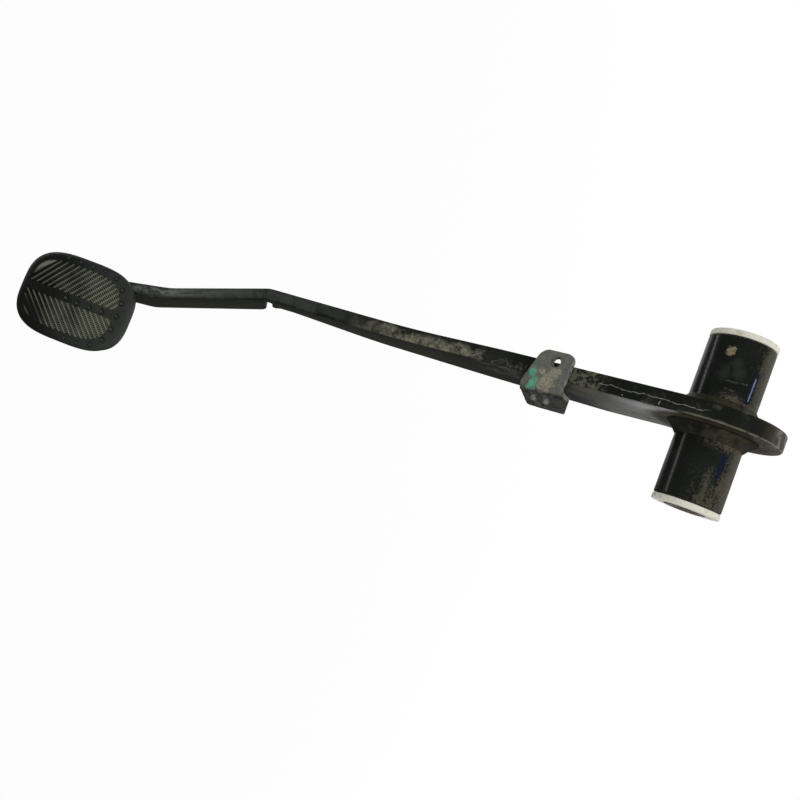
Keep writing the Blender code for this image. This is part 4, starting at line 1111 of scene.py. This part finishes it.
def bracketFinish():
    f = Finish("bracketPaint")
    w = bracketWear
    at = f.attribute("sheetAt", "Vector")
    y, z = f.parts(at)[1:]
    edge = f.attribute("edge")
    facing = f.parts(f.attribute("facing", "Vector"))
    cloud, patchy = f.grains(at, 120, 380)
    fine = f.noise(1300, 3.0, 0.65, at)
    along, across = bracketShape["switchPlace"]
    # the face that the switch rests on, and the wall of its hole
    flap = f.larger(f.fade(facing[2], 0.60, 0.92),
                    f.spot((flapStart + along, across, 0.0), w["holeWall"], 0.2, at) * 0.8)
    web = f.fade(facing[0], 0.50, 0.90)

    green = f.most(f.spot, w["green"], 0.45, at, 1.2, 420) * flap * f.fade(fine, 0.30, 0.52)
    tan = f.most(f.spot, w["tan"], 0.45, at, 2.0, 420) * flap
    brown = web * f.fade(y, 0.002, 0.012) * f.fade(patchy, 0.36, 0.56) * f.fade(z, -0.020, -0.004)
    grey = f.fade(patchy * 0.5 + fine * 0.5, 0.38, 0.62)
    grey = f.mix(grey, (0.085, 0.092, 0.076), (0.145, 0.148, 0.120))
    colour = f.coats(
        f.mix(f.fade(cloud, 0.30, 0.70), (0.0105, 0.0120, 0.0115), (0.0260, 0.0280, 0.0260)),
        (flap, grey), (web * f.fade(patchy, 0.40, 0.60) * 0.5, (0.120, 0.120, 0.105)),
        (brown * 0.6, (0.090, 0.060, 0.034)),
        (tan * f.fade(fine, 0.28, 0.60) * 0.80, (0.300, 0.275, 0.190)),
        (edge * f.fade(patchy, 0.34, 0.56) * 0.60, (0.260, 0.255, 0.215)),
        (green * 0.85, f.mix(patchy, (0.020, 0.260, 0.140), (0.140, 0.480, 0.310))))
    return f.surface(colour, 0.38 + 0.10 * cloud + 0.16 * flap + 0.16 * brown, 0.28,
                     (cloud, 0.00018), (patchy, 0.00006), (fine * flap, 0.00002))


# The pieces

def dress(piece, material, node, body="pedal"):
    # hand a piece to its body, its slot and the CAD node that it stands for
    piece.data.materials.clear()
    piece.data.materials.append(material)
    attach(piece, body)
    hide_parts(node)
    print(piece.name, len(piece.data.polygons), "faces")


# the arm is drilled flat and then folded; its finish goes by places on the flat plate
arm = armSkin()
pin = pinPlace()
half = armShape["thickness"] / 2
pinRadius = bracketShape["pinHole"] / 2
drill(arm, [((-half, 0, 0), (half, 0, 0), armShape["boreRadius"], armShape["boreChamfer"]),
            ((-half, *pin[1:]), (half, *pin[1:]), pinRadius, armShape["pinChamfer"])])
down = (1, 1, -1)
flat = vectorsOf(arm.data.vertices) * down
normals = vectorsOf(arm.data.vertex_normals, "vector") * down
# 0 on a flat face or a square edge and 1 halfway round the corner between them
edge = 4 * normals[:, 0] ** 2 * (1 - normals[:, 0] ** 2)
storeOnPoints(arm, flatAt=flat, facing=normals, edge=edge)
arm.data.vertices.foreach_set("co", hang(folded(flat)).ravel().astype(np.float32))
dress(arm, armFinish(), "pedal_arm")

bracket = bracketSkin()
pinWorld = hang(pin)
holeAlong, holeAcross = bracketShape["switchPlace"]
hole = sheetPoint(np.array(holeAlong), np.array(holeAcross), np.zeros(()))
thick = np.array((0, 0, bracketShape["sheet"] / 2))
reach = np.array((bracketShape["sheet"] / 2, 0, 0))
switchEnds = [hang(onBracket(hole + thick * way)) for way in (-1, 1)]
drill(bracket, [(*switchEnds, bracketShape["switchHole"] / 2, bracketShape["holeChamfer"]),
                (pinWorld - reach, pinWorld + reach, pinRadius, bracketShape["holeChamfer"])])
axes = hang(bracketAxes)
normals = vectorsOf(bracket.data.vertex_normals, "vector") @ axes.T
storeOnPoints(bracket, sheetAt=(vectorsOf(bracket.data.vertices) - hang(bracketOrigin)) @ axes.T,
              facing=normals, edge=step(np.abs(normals[:, 1]), 0.30, 0.70))
dress(bracket, bracketFinish(), "switch_bracket")

weldPaint = dirtyPaintFinish("weldPaint", 0.8, 0.3)
for side, name, node in ((1, "eyeWeldRight", "eye_weld_right"), (-1, "eyeWeldLeft", "eye_weld_left")):
    dress(eyeWeld(name, side, 5 + side), weldPaint, node)

run = np.linspace(-0.5, 0.5, beadShape["bracketRows"]) * beadShape["bracketRun"]
root = onBracket(np.stack((np.full_like(run, half + seatGap), run, np.zeros_like(run)), -1))
away = np.broadcast_to((1.0, 0, 0), root.shape)
inwards = np.broadcast_to(-bracketAxes[2], root.shape)
bracketBead = beadSkin("bracketWeld", root, inwards, away, beadShape["bracketLeg"], False, 9)
dress(bracketBead, weldPaint, "bracket_weld")


def footBead():
    # in the corner between the foot's right side and the back of the plate
    foldWay = np.array((math.sin(foldTurn), 0, -math.cos(foldTurn)))
    downFoot = foldWay * math.cos(footTurn) - (0, math.sin(footTurn), 0)
    thickness = np.array((math.cos(foldTurn), 0, math.sin(foldTurn)))
    wall = unit(thickness * (padNormal @ thickness) - padNormal)
    floor = unit(np.cross(padNormal, downFoot))
    top = folded(np.array((0, armShape["frontShoulder"][0], footCorner())))
    run = np.linspace(beadShape["footFrom"], beadShape["footTo"], beadShape["footRows"])[:, None]
    place = top + downFoot * run + thickness * (half + seatGap)
    depth = (np.array(padPlace["centre"]) - place) @ padNormal - padPlace["plate"] - seatGap
    root = place + wall * (depth / (wall @ padNormal))[:, None]
    wall, floor = (np.broadcast_to(way, root.shape) for way in (wall, floor))
    return beadSkin("footWeld", root, wall, floor, beadShape["footLeg"], False, 12)


dress(footBead(), weldPaint, "foot_weld")

t = tubeShape
ends = t["length"] / 2
tube = turnedSkin("pivotTube", [
    (-ends, t["inner"], t["innerEdge"]), (-ends, t["radius"], t["outerEdge"]),
    (ends, t["radius"], t["outerEdge"]), (ends, t["inner"], t["innerEdge"])], t["sides"], t["wobble"], 3)
dress(tube, tubeFinish(), "pivot_tube")

plastic = plasticFinish()
for side, name, node in ((1, "bushRight", "bush_right"), (-1, "bushLeft", "bush_left")):
    seat = ends + seatGap
    end = seat + bushShape["flange"]
    tip = ends - bushShape["spigot"]
    spigot = t["inner"] - seatGap
    e = bushShape["edge"]
    wide, bore = bushShape["radius"], bushShape["bore"]
    corners = [(side * tip, bore, bushShape["boreEdge"]), (side * tip, spigot, e),
               (side * seat, spigot, bushShape["seatEdge"]), (side * seat, wide, e),
               (side * end, wide, e), (side * end, bore, e)]
    bush = turnedSkin(name, corners, bushShape["sides"], bushShape["wobble"], 4 + side)
    dress(bush, plastic, node)

v = sleeveShape
sleeve = turnedSkin("spacerSleeve", [
    (-v["reach"], v["bore"], v["chamfer"]), (-v["reach"], v["radius"], v["chamfer"]),
    (v["reach"], v["radius"], v["chamfer"]), (v["reach"], v["bore"], v["chamfer"])], v["sides"], swing=False)
dress(sleeve, steelFinish(), "spacer_sleeve", "sleeve")

dress(padSkin(), rubberFinish(), "pad_rubber")

plate = bpy.data.objects["foot_plate"]
platePaint = dirtyPaintFinish("platePaint", 0.35, 1.1)
for place in plate.material_slots:
    place.material = platePaint
print("pieces made")


# Floor, light and camera

stage = {
    "floorLevel": -0.62, "floorHalf": 3.0, "whiteFrom": 0.3, "whiteTo": 1.6, "shadowShare": 0.10,
    "ambient": 0.55, "room": 0.045,
    "windowAim": (0.153, 0.966, -0.205), "windowFrom": 0.9915, "windowTo": 0.9985, "window": 1.6,
    "sheetFrom": -0.02, "sheetTo": -0.18, "sheet": 0.55, "behind": 0.40,
    # name, place, size, watts, whether gloss shows it
    "lamps": [
        ("keyBox", (-0.5, -0.7, 1.1), (0.7, 0.7), 9.0, False),
        ("fillBox", (0.9, -0.4, 0.5), (0.8, 0.8), 4.0, False),
        ("backBox", (-0.3, 1.1, 0.5), (0.8, 0.8), 6.0, False),
        ("lowStrip", (-0.10, -0.12, -0.56), (0.34, 0.012), 0.12, True)],
    "lampAim": (0.02, 0, -0.18),
}


def studioFloor():
    mesh = bpy.data.meshes.new("floor")
    h, z = stage["floorHalf"], stage["floorLevel"]
    mesh.from_pydata([(-h, -h, z), (h, -h, z), (h, h, z), (-h, h, z)], [], [(0, 1, 2, 3)])
    floor = pieceFrom("floor", mesh)
    f = Finish("floorPaper")
    f.surface((0.80, 0.80, 0.80), 0.75, 0.5, (f.noise(700, 3.0), 0.00005))
    # white to the camera, with a share of its own shading so that the shadow shows
    reach = f.length(f.stretched((1, 1, 0)))
    share = 1 - f.fade(reach, stage["whiteTo"], stage["whiteFrom"], stage["shadowShare"])
    white = f.node("ShaderNodeEmission", None, {"Color": (1, 1, 1)})
    seen = f.rays("Is Camera Ray", "Is Transmission Ray")
    blend = f.node("ShaderNodeMixShader", None, {0: seen * share, 1: Lead(f, f.shader.outputs[0]), 2: white})
    f.plug(f.tree.nodes["Material Output"].inputs["Surface"], blend)
    mesh.materials.append(f.material)
    floor.visible_glossy = False


def studio():
    # The camera sees white all round. Gloss sees a white window behind the pedal, a paler
    # sheet to its left and above, and a dim room elsewhere; all other light is even.
    world = bpy.data.worlds.new("studio")
    bpy.context.scene.world = world
    world.use_nodes = True
    f = NodeMaker(world.node_tree)
    direction = f.node("ShaderNodeTexCoord", out="Generated")
    aim = tuple(unit(hang(np.array(stage["windowAim"]))))
    nearAim = f.vectors("DOT_PRODUCT", direction, aim, "Value")
    window = f.fade(nearAim, stage["windowFrom"], stage["windowTo"], stage["window"])
    x, y, z = f.parts(direction)
    sheet = f.fade(x, stage["sheetFrom"], stage["sheetTo"], stage["sheet"]) * f.fade(y, 0.25, 0.60)
    gloss = f.rays("Is Glossy Ray")
    behind = f.fade(z, 0.10, 0.70) * f.fade(y, 0.0, 0.5) * stage["behind"]
    lit = gloss * f.larger(window, sheet, behind, stage["room"]) + (1 - gloss) * stage["ambient"]
    shown = f.rays("Is Camera Ray", "Is Transmission Ray")
    sky = world.node_tree.nodes["Background"]
    f.plug(sky.inputs["Color"], (1, 1, 1))
    f.plug(sky.inputs["Strength"], shown + (1 - shown) * lit)
    world.cycles.sampling_method = "NONE"

    for name, place, size, power, inGloss in stage["lamps"]:
        lamp = bpy.data.lights.new(name, "AREA")
        lamp.shape, lamp.size, lamp.size_y, lamp.energy = "RECTANGLE", size[0], size[1], power
        box = pieceFrom(name, lamp)
        box.location = place
        towards = Vector(stage["lampAim"]) - box.location
        box.rotation_euler = towards.to_track_quat("-Z", "Y").to_euler()
        box.visible_camera, box.visible_glossy = False, inGloss


def photoCamera():
    right = np.array((-0.36163, 0.46499, 0.80809))
    up = np.array((-0.92995, -0.24171, -0.27708))
    back = np.array((0.06648, -0.85168, 0.51982))
    place = np.array((0.05679, -0.3312, 0.06447))
    columns = [hang(v) for v in (right, up, back, place)]
    lens = bpy.data.cameras.new("photoCamera")
    lens.lens, lens.sensor_width, lens.clip_start = 36.96, 36.0, 0.01
    camera = pieceFrom("photoCamera", lens)
    camera.matrix_world = Matrix([*np.stack(columns, 1).tolist(), [0, 0, 0, 1]])
    bpy.context.scene.camera = camera


studioFloor()
studio()
photoCamera()
bpy.context.scene.view_settings.view_transform = "Standard"

print("scene ready")
